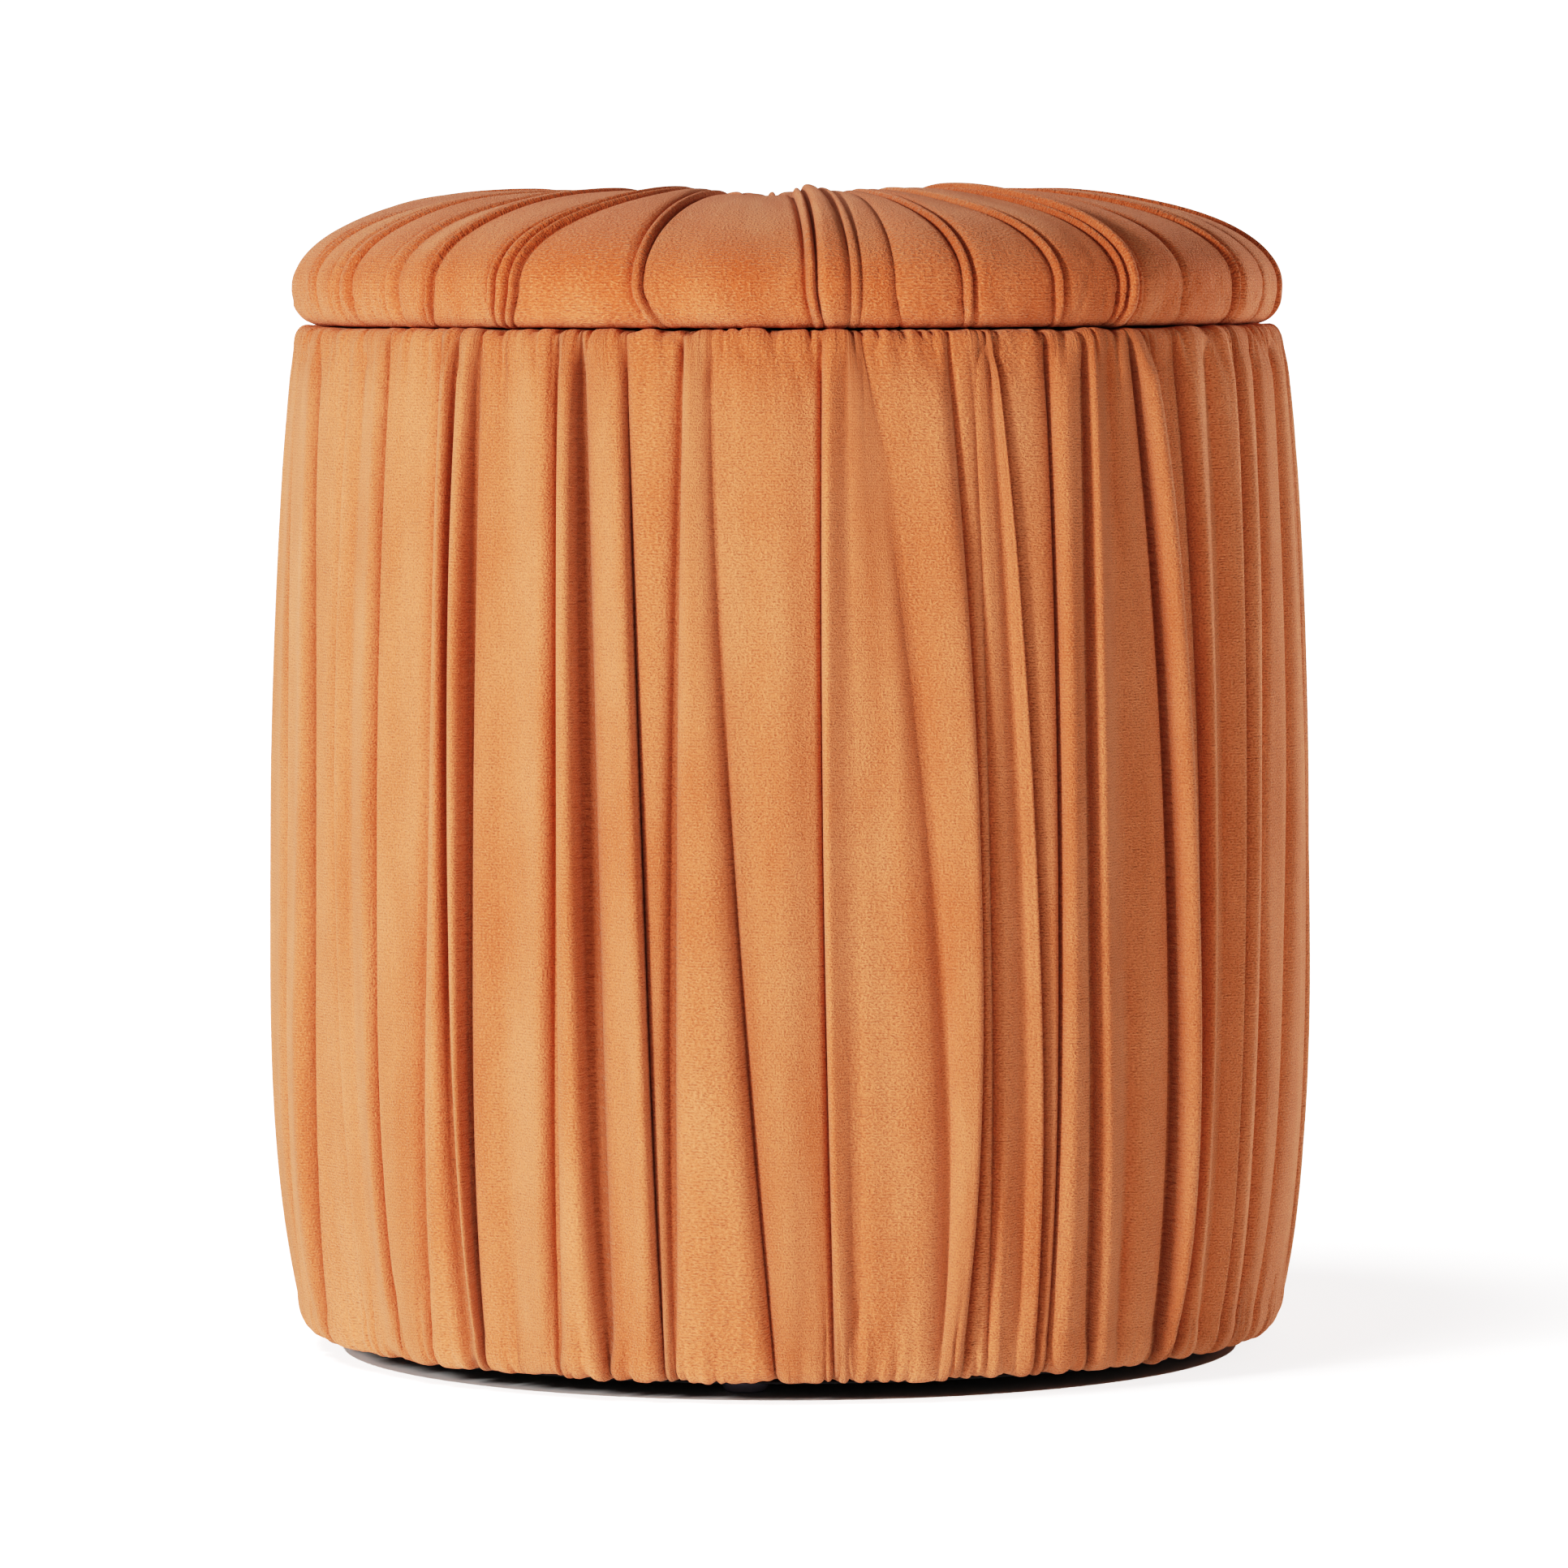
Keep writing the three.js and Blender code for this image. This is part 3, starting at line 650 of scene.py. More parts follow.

# %% [markdown]
# ## Where the body's folds run
# Each crease has an angle, in degrees from the front, at the top edge, at half height and
# at the bottom edge. The next three numbers are millimetres: how high the crest stands on
# its left, on its right, and how far the panel after it stands proud. Three more fade it at
# the top, in the middle and at the bottom, so that two folds can run together or one can
# die out, as gathers do, and the last makes it a soft valley instead of a crease. The front
# is listed one by one and the back is drawn by lot.

# %% Creases of the body
FRONT_CREASES = [
    (-86, -84.5, -86, 1.5, 2, 0, 0.8, 1, 0.8, 0),
    (-78.5, -75, -79, 1.5, 2.5, 0, 0.8, 1, 0.8, 0.3),
    (-69.5, -64.5, -68.5, 4.5, 0.6, 0, 0.6, 1.1, 1, 0),
    (-60, -59.3, -57, 0.2, 1.3, 0, 0.6, 0.8, 0.6, 0.5),
    (-56, -56.3, -54.5, 1, 1.2, 0, 1, 0.2, 0.1, 0.8),
    (-51.5, -51.2, -50.3, 3, 1.2, 0, 0.6, 0.8, 1.3, 0),
    (-42.6, -43, -45, 0.5, 2, 1, 0.9, 0.8, 0.8, 0.3),
    (-40.2, -39.7, -39.2, 3.4, 1.6, 2.4, 0.8, 1.2, 0.5, 0),
    (-37, -36.5, -37.2, 5, 0.2, 0, 0.6, 1, 1.1, 0),
    (-33, -32.5, -32, 1.2, 0.6, 0, 0.9, 0, 0.3, 0.9),
    (-26.6, -25.9, -27, 3.6, 2.6, 3, 1, 1, 0.9, 0),
    (-23.6, -22, -20.8, 4.6, 0.3, 0, 0.8, 1, 1.1, 0),
    (-18.3, -15.9, -14.2, 5.6, 0.1, 0, 0.5, 1.2, 1, 0),
    (-11.7, -12.7, -13, 0.4, 2.4, 0, 0.8, 1, 0.5, 0),
    (-8.5, -5.9, -1.6, 4.6, 0.1, 0, 0.2, 0.8, 1.2, 0),
    (3.8, 3.7, 5, 0.3, 2.3, 0, 1, 1, 1, 0),
    (6.6, 6.8, 7.3, 1, 1.2, 0, 0.2, 0, 0.9, 0.5),
    (8, 15, 16.8, 2.8, 2.2, 0, -0.5, 0.9, 1.3, 0.9),
    (18, 20.6, 20, 4.8, 0.1, 0, 0.6, 1.3, 0.7, 0.1),
    (20.7, 22, 22.7, 0.3, 2.2, 0, 0.1, 0.6, 1, 0.4),
    (22.6, 25.2, 26.2, 0.4, 1.2, 0, 0.6, 0.8, 0.5, 0.7),
    (23.4, 27.2, 28.8, 2.6, 0.1, 0, 0.8, 1, 0.6, 0),
    (30.2, 30.4, 30.2, 0.4, 3.8, 0, 1, 1, 1, 0),
    (35.3, 34.7, 36.2, 1, 3.4, 0, 1, 1, 1, 0),
    (38.4, 39.2, 40.4, 1.4, 1.8, 0, 0.3, 0.1, 1, 0.6),
    (41.9, 45.2, 46.3, 1, 3.8, 3, 1, 1, 1, 0),
    (45.3, 47.8, 48.6, 4.4, 0.2, -1.5, 0.8, 1, 1, 0),
    (49.4, 51.6, 50.6, 0.4, 3.6, 0, 1.1, 1, 0.8, 0),
    (55.6, 55, 54.4, 0.8, 1, 0, 0.6, 0.3, 0.8, 0.9),
    (61.8, 58.4, 58.2, 3.2, 3, 1, 0.6, 1, 1, 0),
    (67, 63.4, 62.5, 1.4, 2.4, 0, 0.8, 0.8, 0.8, 0),
    (73.5, 71, 67.8, 3, 2.6, 0, 1, 0.9, 0.9, 0.2),
    (80, 78.5, 76, 2.4, 1.6, 0, 0.8, 0.8, 1, 0),
    (86.5, 86, 84, 1.4, 2.6, 0, 0.8, 1, 0.8, 0),
]


def strong_side(draw, strong, weak):
    """A high and a low crest drawn from two ranges, and by lot which of them is left."""
    pair = draw.uniform(*strong), draw.uniform(*weak)
    return pair if draw.random() < 0.5 else pair[::-1]


def back_creases(first, last, seed, gaps):
    """Creases from one angle to another like those above: uneven gaps, each crease leaning
    to one side, slowly wandering and fading along its length."""
    draw = np.random.default_rng(seed)
    rows, at = [], first
    while at < last:
        wander = draw.uniform(-1.3, 1.3, 3)
        left, right = strong_side(draw, (2.0, 5.0), (0.2, 1.4))
        gap = draw.uniform(*gaps)
        lift = draw.uniform(1.0, 3.0) if gap < 5 else 0.0
        fade = draw.uniform(0.35, 1.15, 3)
        soft = 0.7 * (draw.random() < 0.25)
        rows.append((*(at + wander), left, right, lift, *fade, soft))
        at += gap
    return rows


body_table = np.array(FRONT_CREASES + back_creases(92.5, 268.5, 11, (3.2, 9.5)))
print("body creases:", len(body_table))

# %% [markdown]
# ## Draping the body's cover
# The folds stand up on the wall and are pressed nearly flat where the lid sits and where
# the cloth is stapled under the base. Close to both edges the fullness breaks up into many
# short puckers. The rest of the sheet carries slow, shallow ripples that run down it.
#
# A cover is a closed shell: the pleated sheet is its outside, and a plain wall behind it
# takes in the soft outside of the foam.

# %% Cover helpers
HEM_CLOTH = 1.8 * MM  # thickness of the shell where only cloth lies on wood
PADDED_CLOTH = 6 * MM  # and where it takes in the soft outside of the foam
INNER_ROWS = 4  # the plain wall has one row for this many of the sheet's


def close_shell(sheet, line, padding):
    """The sheet with a plain inner wall behind it, joined along both edges, so that the
    cover is one closed body. padding is how soft each row is, from 0 to 1."""
    depth = HEM_CLOTH + (PADDED_CLOTH - HEM_CLOTH) * padding
    keep = np.unique(np.append(np.arange(0, len(line), INNER_ROWS), len(line) - 1))
    inner_line = (line - outward(line) * depth[:, None])[keep][::-1]
    middle = sheet[len(sheet) // 2]
    angle = np.arctan2(middle[:, 0], -middle[:, 1])
    r, z = inner_line[:, 0:1], inner_line[:, 1:2]
    inner = np.stack([r * np.sin(angle), -r * np.cos(angle), z + 0 * r * angle], -1)
    return np.concatenate([sheet, inner], 0)


def cover_object(name, sheet, pinch, rim, line, padding, material):
    """The mesh object of a pleated sheet with its inner wall. Its cloth is measured along
    the middle row, folds and all, so the weave keeps its size as it goes in and out. rim
    says how strongly each row is gathered."""
    shell = close_shell(sheet, line, padding)
    rows, columns = shell.shape[:2]
    faces = grid_faces(rows + 1, columns, closed=True) % (rows * columns)
    around = lengths(sheet[len(sheet) // 2])
    along = lengths(np.concatenate([line, line[::-1]])[:rows + 1])
    uv = ring_uv(rows + 1, columns, along, around)
    piece = mesh_object(name, shell.reshape(-1, 3), [faces], material, uv)
    behind = np.zeros((rows - len(sheet), columns))
    point_value(piece, "pinch", np.concatenate([pinch, behind]))
    point_value(piece, "rim", np.concatenate([rim[:, None] + 0 * pinch, behind]))
    return piece


# %% Body cover
CREASE_DEPTH = 2.0 * MM
FOLD_HEIGHT = 1.45  # scale on every crest of the table
PUCKER_CELLS = 230
RIPPLE_CELLS = 72
STREAK_CELLS = 190
PANEL_BOW = 1.7 * MM
BOW_ALL_ROUND, BOW_RIGHT = 1.25, 0.65  # the right side bows out more, the left side less
LEAST_FULLNESS = 0.1
TOP_DRAWN, TOP_REACH = 0.7, 32 * MM  # how much of a crest is lost at the top, and how far down
HEM_DRAWN, HEM_REACH = 0.8, 26 * MM  # the same at the hem
LEAST_CREST = 0.2
HEM_CALM = 0.7  # how much of the bow and the ripples is lost at the hem


def body_fullness(height, radius):
    """How strongly the folds show: 1 on the wall, falling to a little over the flat top, in
    the mouth and under the base."""
    top = ramp(1 - rising(body_top + 1 * MM - height, 20 * MM))
    low = ramp(1 - rising(height - body_bottom + 5 * MM, 16 * MM))
    wall = rising(radius - board_radius, 14 * MM)
    return LEAST_FULLNESS + (1 - LEAST_FULLNESS) * top * low * wall


def make_body_cover():
    """The body's cover. Towards both ends its crests are drawn in and its puckers grow,
    and at the hem its bow and its ripples calm down."""
    line = body_outline(PANEL_SINK)
    height, radius = line[:, 1], line[:, 0]
    from_top, from_hem, on_wall = body_top - height, height - body_bottom, radius - board_radius
    at = (-body_top, -(body_top + body_bottom) / 2, -body_bottom)
    crease = np.radians(spread(body_table[:, 0:3], at, -height))
    own_fade = np.clip(spread(body_table[:, 6:9], at, -height), 0, 1.4)
    fullness = body_fullness(height, radius)
    crest = 1 - TOP_DRAWN * fading(from_top, TOP_REACH) - HEM_DRAWN * fading(from_hem, HEM_REACH)
    tall = FOLD_HEIGHT * MM * own_fade * fullness * np.maximum(crest, LEAST_CREST)
    left, right, lift = (body_table[:, k:k + 1] * tall for k in (3, 4, 5))
    cut = rising(from_top + 0.5 * MM, 5 * MM, 0.25) * rising(on_wall, 10 * MM, 0.1)
    depth = CREASE_DEPTH * np.minimum(1.2 * own_fade, 1) * cut
    rims = (fading(from_top, 16 * MM) + fading(from_hem, 24 * MM))[:, None]
    calm = 1 - HEM_CALM * fading(from_hem, 12 * MM)
    wall = rising(on_wall, 12 * MM, 0.12)
    row = (lengths(line) / lengths(line)[-1])[:, None]

    def extra(angle, away):
        """Ripples and streaks away from the creases, and thin ridges of pucker at the rims,
        in millimetres."""
        across, rows = angle / TURN, row + 0 * angle
        ripple = lattice_noise(across * RIPPLE_CELLS, rows * 4, RIPPLE_CELLS, 4, 3)
        streak = lattice_noise(across * STREAK_CELLS, rows * 3, STREAK_CELLS, 3, 8)
        pucker = lattice_noise(across * PUCKER_CELLS, rows * 11, PUCKER_CELLS, 11, 4)
        slow = (1.4 * ripple + 0.45 * streak) * calm[:, None]
        return (slow * away + (0.7 - 2.6 * ridge(pucker)) * rims) * MM * wall[:, None]

    fuller = BOW_ALL_ROUND + BOW_RIGHT * np.sin(np.radians(body_table[:, 1:2]))
    sheet, pinch = pleated(line, crease, left, right, depth, body_table[:, 9], lift,
                           PANEL_BOW * fuller * fullness * calm, extra)
    gathered = 0.9 * fading(from_top, 11 * MM) + 0.8 * fading(from_hem, 8 * MM)
    return cover_object("body_velvet", sheet, pinch, gathered, line, wall, body_cloth)


body_velvet = make_body_cover()
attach(body_velvet, "base")
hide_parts("body_cover")
print("body cover:", len(body_velvet.data.polygons), "faces")

# %% [markdown]
# ## The cover of the lid
# The same cloth and the same kind of fold, but the folds run from the rim over the side of
# the cushion to the button in the middle, so they draw together as they go.

# %% Outline of the lid's cover
LID_WIDE_RISE = 16 * MM
LID_TUCK = 9 * MM
LID_CREST_INSET = 95 * MM
SEAT_MARGIN = 1 * MM
BUTTON_DIP = 20 * MM
COVER = 2 * MM
TWINE_HOLE = 4 * MM
LOW_SINK = 0.2  # share of an inset by which the lid's underside moves

button_radius = button_high[0]
button_seat = lid_crest - BUTTON_DIP
crest_radius = lid_radius - LID_CREST_INSET


def lid_outline(inset):
    """The lid's outline moved in by an inset, from the foot of the button's dip over the
    crest and round the side to the edge of the hem under the board."""
    seat_edge, seat = button_radius + SEAT_MARGIN, button_seat - inset
    wide_z = lid_bottom + LID_WIDE_RISE
    top, low, out = lid_crest - inset, lid_bottom + LOW_SINK * inset, lid_radius - inset
    quarter = np.linspace(math.pi / 2, 0, 46, endpoint=False)
    side = np.stack([crest_radius + (out - crest_radius) * np.cos(quarter),
                     wide_z + (top - wide_z) * np.sin(quarter)], -1)
    t = np.linspace(0, 1, 30, endpoint=False)
    dip = np.stack([seat_edge + (crest_radius - seat_edge) * t,
                    seat + (top - seat) * smooth(t)], -1)
    tuck, hem = out - LID_TUCK - COVER, lid_board_radius - HEM_WIDTH
    return np.concatenate([
        straight((TWINE_HOLE, seat), (seat_edge, seat), 4),
        dip, side,
        bend((out, wide_z), (out, low), (tuck, low), 14),
        straight((tuck, low), (hem, low), 8),
        [(hem, low)],
    ])


lid_line = lid_outline(0.0)
print("lid outline:", len(lid_line), "points")

# %% [markdown]
# ## Where the lid's folds run
# Each crease has its angle at the button, at the crest, at the widest place and at the gap
# over the body. Then come the same millimetres as on the body, and fades at the same four
# places. A strong crease is really two, with a thin cord of cloth standing between them.

# %% Creases of the lid
LID_FRONT_CREASES = [
    (-86, -86, -86.5, -86, 1, 1.8, 0, 0.6, 0.8, 1, 0.9),
    (-74, -73, -72.7, -72.6, 1.8, 1.4, 0, 0.6, 0.8, 1, 0.9),
    (-70, -70.5, -70.6, -70.2, 0.4, 1, 0, 0.4, 0.6, 0.8, 0.4),
    (-64, -64, -65, -65.2, 0.6, 1.6, 0.8, 0.5, 0.6, 0.9, 0.9),
    (-61.8, -62, -62.8, -62.8, 0.8, 0.6, 0.8, 0.3, 0.6, 0.8, 0.5),
    (-58, -58.5, -60, -60.2, 1.6, 0.6, 0, 0.5, 0.7, 0.9, 1),
    (-50, -50.5, -52.5, -52.7, 0.6, 1.6, 0.6, 0.5, 0.6, 0.8, 1),
    (-48, -48.4, -50.2, -50, 1, 0.4, 0, 0.3, 0.5, 0.7, 0.4),
    (-41, -41, -45, -46.6, 2, 1, 0, 0.6, 0.9, 1, 0.9),
    (-27, -26, -35.7, -36.8, 0.8, 2, 1.2, 0.6, 0.9, 1, 1),
    (-23.5, -23, -32.8, -34.6, 2, 0.8, 0, 0.6, 0.8, 1, 0.8),
    (-16, -16.2, -17.6, -15.3, 2.4, 1.2, 0, 0.7, 1, 1.1, 1),
    (0.4, 1, 2, 3.1, 1.6, 2.6, 1.6, 0.8, 1.2, 1, 1),
    (6.5, 6.5, 7, 7, 2, 0.6, 0, 0.7, 1, 0.5, 0.2),
    (13, 12.4, 12, 13.2, 0.8, 1.2, 0, 0.3, 0.3, 0.5, 1.2),
    (14.6, 15.2, 19.8, 20.5, 1, 2.6, 0, 0.6, 0.9, 1, 1),
    (22, 22.6, 31.2, 32, 1.2, 2.8, 0, 0.6, 0.9, 1, 1),
    (34, 35.5, 40.4, 39.8, 0.8, 3.2, 2.2, 0.6, 0.8, 1.2, 1),
    (38, 39.5, 43, 43, 2.6, 0.4, 0, 0.5, 0.7, 1, 1),
    (48, 49, 51.5, 51.5, 0.8, 1.4, 0, 0.5, 0.6, 0.8, 1),
    (58, 58.5, 62.3, 62.9, 1.2, 2.6, 0, 0.6, 0.9, 1, 1),
    (69, 69.5, 72, 72, 1.4, 1.2, 0, 0.5, 0.7, 0.9, 1),
    (77, 78, 81, 82, 0.8, 2.4, 0, 0.6, 0.9, 1, 1),
]


def lid_back_creases(first, last, seed):
    """The lid's other creases, drawn by lot: they sweep a little to one side on their way
    to the button."""
    draw = np.random.default_rng(seed)
    rows, at = [], first
    while at < last:
        sweep = draw.uniform(-3, 3)
        wander = draw.uniform(-0.8, 0.8, 2)
        left, right = strong_side(draw, (1.5, 3.2), (0.4, 1.2))
        gap = draw.uniform(6.0, 13.0)
        fade = draw.uniform(0.6, 1.1, 2)
        rows.append((at + sweep, at + sweep * 0.8, *(at + wander), left, right,
                     0.0, 0.6, fade[0] * 0.9, fade[1], 1.0))
        at += gap
    return rows


CORDED = 1.9  # creases with a crest at least this high have a cord
CORD_PARTING = np.array([2.2, 1.5, 1.0, 1.0])  # more at the button than at the rim


def with_cords(rows, seed):
    """The same creases with each strong one parted by about a degree, and a cord that
    stands proud in the parting."""
    draw = np.random.default_rng(seed)
    out = []
    for row in rows:
        places, left, right, lift, fades = np.array(row[:4]), row[4], row[5], row[6], row[7:]
        if max(left, right) < CORDED:
            out.append(row)
            continue
        part = draw.uniform(0.8, 1.3) * CORD_PARTING
        out.append((*places, left, 0.3, draw.uniform(1.0, 1.9), *fades))
        out.append((*(places + part), 0.3, right, lift, *fades))
    return out


lid_table = np.array(with_cords(LID_FRONT_CREASES + lid_back_creases(90.0, 266.0, 23), 24))
print("lid creases:", len(lid_table))

# %% Lid cover
LID_DEPTH = 1.3 * MM
LID_FOLD_HEIGHT = 0.52  # scale on every crest of the lid's table
LID_SINK = 1.3 * MM
LID_BOW = 1.5 * MM
LID_PUCKER_CELLS = 230
LID_RIPPLE_CELLS = 44
HEM_ROWS = 9  # the outline's rows from the gap to the edge of the hem
FRONT_SAG = 3.2 * MM  # the crest is lowest a little left of the front
SAG_AT, SAG_WIDTH, SAG_REACH = math.radians(-7), math.radians(8), 38 * MM


def make_lid_cover():
    """The lid's cover. Its folds shrink towards the button and under the lid, and puckers
    grow at the gap and round the button."""
    line = lid_outline(LID_SINK)
    arc, radius, height = lengths(line), line[:, 0], line[:, 1]
    top_row, wide_row, hem_row = np.argmax(height), np.argmax(radius), len(line) - HEM_ROWS
    places = arc[[0, top_row, wide_row, hem_row]]
    crease = np.radians(spread(lid_table[:, 0:4], places, arc))
    room = rising(radius, 90 * MM, 0.12)
    under = rising(height - lid_bottom + 1 * MM, 9 * MM, 0.08)
    under[:wide_row] = 1
    fade = spread(lid_table[:, 7:11], places, arc) * room * under
    left, right = (LID_FOLD_HEIGHT * lid_table[:, k:k + 1] * MM * fade for k in (4, 5))
    lift = lid_table[:, 6:7] * MM * fade
    from_gap = arc - arc[hem_row]
    near_gap = (fading(from_gap, 14 * MM) * under)[:, None]
    near_button = fading(radius, 45 * MM)[:, None]
    puff = (rising(radius, 120 * MM) * under)[:, None]
    crest = np.exp(-((arc - arc[top_row]) / SAG_REACH) ** 2)[:, None]

    def extra(angle, away):
        """Ripples on the cushion, ridges of pucker at the gap and a fine pucker round the
        button, in millimetres, less the sag."""
        across, rows = angle / TURN, (arc / arc[-1])[:, None] + 0 * angle
        ripple = lattice_noise(across * LID_RIPPLE_CELLS, rows * 7, LID_RIPPLE_CELLS, 7, 5)
        pucker = lattice_noise(across * LID_PUCKER_CELLS, rows * 22, LID_PUCKER_CELLS, 22, 6)
        sag = np.exp(-((angle - SAG_AT) / SAG_WIDTH) ** 2) * crest * FRONT_SAG
        return (1.1 * ripple * puff * away + (0.6 - 2.4 * ridge(pucker)) * near_gap
                + 0.5 * pucker * near_button) * MM - sag

    depth, bow = LID_DEPTH * np.minimum(fade, 1.1), LID_BOW * room * under + 0 * lift
    soft = np.zeros(len(lid_table))
    sheet, pinch = pleated(line, crease, left, right, depth, soft, lift, bow, extra)
    gathered = 0.8 * fading(from_gap, 9 * MM) + 0.5 * fading(radius, 40 * MM)
    padding = rising(under * radius, 40 * MM)
    return cover_object("lid_velvet", sheet, pinch, gathered, line, padding, lid_cloth)


lid_velvet = make_lid_cover()
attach(lid_velvet, "lid")
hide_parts("lid_cover")
print("lid cover:", len(lid_velvet.data.polygons), "faces")

# %% [markdown]
# ## Turned pieces
# The foam, the feet and the button are round, so each is an outline carried round an axis.
# Where an outline meets the axis its ring of points becomes one pole, so that the skin
# stays closed.


# %% Turned mesh
def pole_fans(rows, sides):
    """Triangles from two poles, the points after the grid's last, to the first ring and to
    the last ring. The two fans turn opposite ways, so that both face outwards."""
    k = np.arange(sides)
    nxt = (k + 1) % sides
    pole, last = rows * sides, (rows - 1) * sides
    return np.concatenate([np.stack([0 * k + pole, k, nxt], -1),
                           np.stack([0 * k + pole + 1, last + nxt, last + k], -1)])


def turned(name, outline, sides, material, centre=(0, 0), swell=None):
    """A closed solid of revolution. The outline runs from the axis, or from an inner
    radius, out and back, the way a clock's hands turn. swell gives each point extra
    distance from its outline, from angle and row."""
    outline = np.array(outline, float)
    on_axis = outline[0, 0] == 0 and outline[-1, 0] == 0
    body = outline[1:-1] if on_axis else outline
    angle = np.arange(sides) * TURN / sides
    r, z = body[:, 0:1] + 0 * angle, body[:, 1:2] + 0 * angle
    if swell is not None:
        normal = outward(outline)[1:-1] if on_axis else outward(outline)
        extra = swell(angle + 0 * r, np.arange(len(body))[:, None] + 0 * r)
        r, z = r + normal[:, 0:1] * extra, z + normal[:, 1:2] * extra
    points = np.stack([centre[0] + r * np.sin(angle), centre[1] - r * np.cos(angle), z], -1)
    points = points.reshape(-1, 3)
    rows = len(body)
    rings = rows if on_axis else rows + 1
    groups = [grid_faces(rings, sides, closed=True) % (rows * sides)]
    along = lengths(np.concatenate([body, body[:1]]))[:rings]
    uv = [ring_uv(rings, sides, along, angle * np.max(r))]
    if on_axis:
        poles = [(*centre, outline[0, 1]), (*centre, outline[-1, 1])]
        points = np.concatenate([points, poles])
        groups.append(pole_fans(rows, sides))
        uv.append(points[groups[-1].ravel(), :2])
    return mesh_object(name, points, groups, material, np.concatenate(uv))


# %% [markdown]
# ## Foam
# Open-cell foam is matt and cream, with cells just large enough to see. It fills the space
# between the drum and the cover, and is only seen if a cover is taken off. Its speckle is a
# node group, because the feet, card, hardboard and steel have one too, at other sizes.

# %% Speckle group
def build_speckle_group():
    """Fine mottle and bump for plain matt stuffs: noise of one size, and under it noise
    eight times as broad."""
    graph, given, result = new_group("speckle", {"Vector": None, "Size": 1 * MM, "Depth": 0.3},
                                     ("Mottle", "Normal"))
    per_size = graph.maths("DIVIDE", 1.0, given["Size"])
    fine = graph.noise(given["Vector"], per_size, Detail=3, Roughness=0.6)
    broad = graph.noise(given["Vector"], graph.maths("MULTIPLY", per_size, 0.125), Detail=2)
    mottle = graph.maths("MULTIPLY_ADD", fine, 0.5, graph.maths("MULTIPLY", broad, 0.5))
    graph.fill(result, Mottle=mottle, Normal=graph.bump(fine, 0.4 * MM, given["Depth"]))
    return graph.tree


speckle_group = build_speckle_group()


def speckled(name, low, high, size, depth, **inputs):
    """A matt or metal material whose colour wanders between two, in spots of one size.
    Other inputs go to its shader."""
    material, graph, shader = new_material(name, **inputs)
    spots = graph.node("Group", {"node_tree": speckle_group}, Vector=graph.own_place(),
                       Size=size, Depth=depth).outputs
    colour = graph.mixed(graph.between(spots["Mottle"], 0.35, 0.65), rgba(low), rgba(high))
    graph.fill(shader, Base_Color=colour, Normal=spots["Normal"])
    return material


cream_foam = speckled("cream_foam", (0.66, 0.58, 0.38), (0.80, 0.74, 0.55), 1.6 * MM, 0.7,
                      Roughness=0.95)
print("material", cream_foam.name)

# %% Foam pieces
FOAM_INSET = 7.4 * MM
FOAM_SIDES = 120
GLUE_GAP = 0.5 * MM
skin_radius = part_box("drum_skin")[1][0]
foam_low, foam_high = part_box("foam_sleeve")


def foam_sleeve():
    """A barrel of foam: the wall of the body's outline moved in, on the outside, and the
    drum's skin on the inside. Slow swells show where it was cut and glued."""
    line = body_outline(FOAM_INSET)
    outside = line[(line[:, 0] > skin_radius + 2 * MM)
                   & (line[:, 1] > foam_low[2]) & (line[:, 1] < foam_high[2])][::3]
    inside = skin_radius + GLUE_GAP
    outline = np.concatenate([[(inside, outside[-1, 1]), (inside, outside[0, 1])], outside])

    def swell(angle, row):
        return 0.4 * MM * np.sin(5 * angle + 0.2 * row) * (row > 2)

    return turned("barrel_foam", outline, FOAM_SIDES, cream_foam, swell=swell)


def lid_cushion_foam():
    """The cushion's foam: the lid's outline moved in, flat below where it is glued to the
    board."""
    line = lid_outline(FOAM_INSET)
    board_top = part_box("lid_board")[1][2] + 0.4 * MM
    outside = line[(line[:, 1] > board_top) & (line[:, 0] > 3 * MM)][::2]
    outline = np.concatenate([[(2.2 * MM, board_top + 0.1 * MM)], outside,
                              [(outside[-1, 0] - 1 * MM, board_top)]])
    return turned("lid_foam_dome", outline, FOAM_SIDES, cream_foam)


for piece, body, cad in ((foam_sleeve(), "base", "foam_sleeve"),
                         (lid_cushion_foam(), "lid", "lid_foam")):
    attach(piece, body)
    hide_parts(cad)
    print(piece.name, len(piece.data.polygons), "faces")

# %% [markdown]
# ## The covered button
# A dome of the same velvet pulled over a shell and gathered behind it. The twine draws it
# down, so the velvet round it runs into its edge in short puckers.


# %% Button
def button():
    """A low dome with a rolled edge. Its velvet ripples a little all round the edge."""
    r, low, high = button_radius, button_low[2], button_high[2]
    quarter = np.linspace(math.pi / 2, -0.35, 16)[1:]
    crown = np.stack([r * 0.45 + r * 0.55 * np.cos(quarter),
                      low + 2 * MM + (high - low - 2 * MM) * np.sin(quarter)], -1)
    crown[:, 1] = np.maximum(crown[:, 1], low + 0.3 * MM)
    outline = np.concatenate([[(0, high), (r * 0.15, high), (r * 0.3, high - 0.05 * MM)], crown,
                              [(r * 0.8, low), (0, low)]])

    def ripple(angle, row):
        return 0.18 * MM * np.sin(26 * angle) * rising(row - 8, 6)

    piece = turned("velvet_button", outline, 104, body_cloth, swell=ripple)
    for value in ("pinch", "rim"):
        point_value(piece, value, np.zeros(len(piece.data.vertices)))
    return piece


velvet_button = button()
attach(velvet_button, "lid")
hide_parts("tuft_button")
print("button:", len(velvet_button.data.polygons), "faces")

# %% [markdown]
# ## Feet
# Four moulded glides of smoky, slightly clear plastic, each held by one screw. A moulded
# part has no sharp edges, so every corner of its outline is rounded.

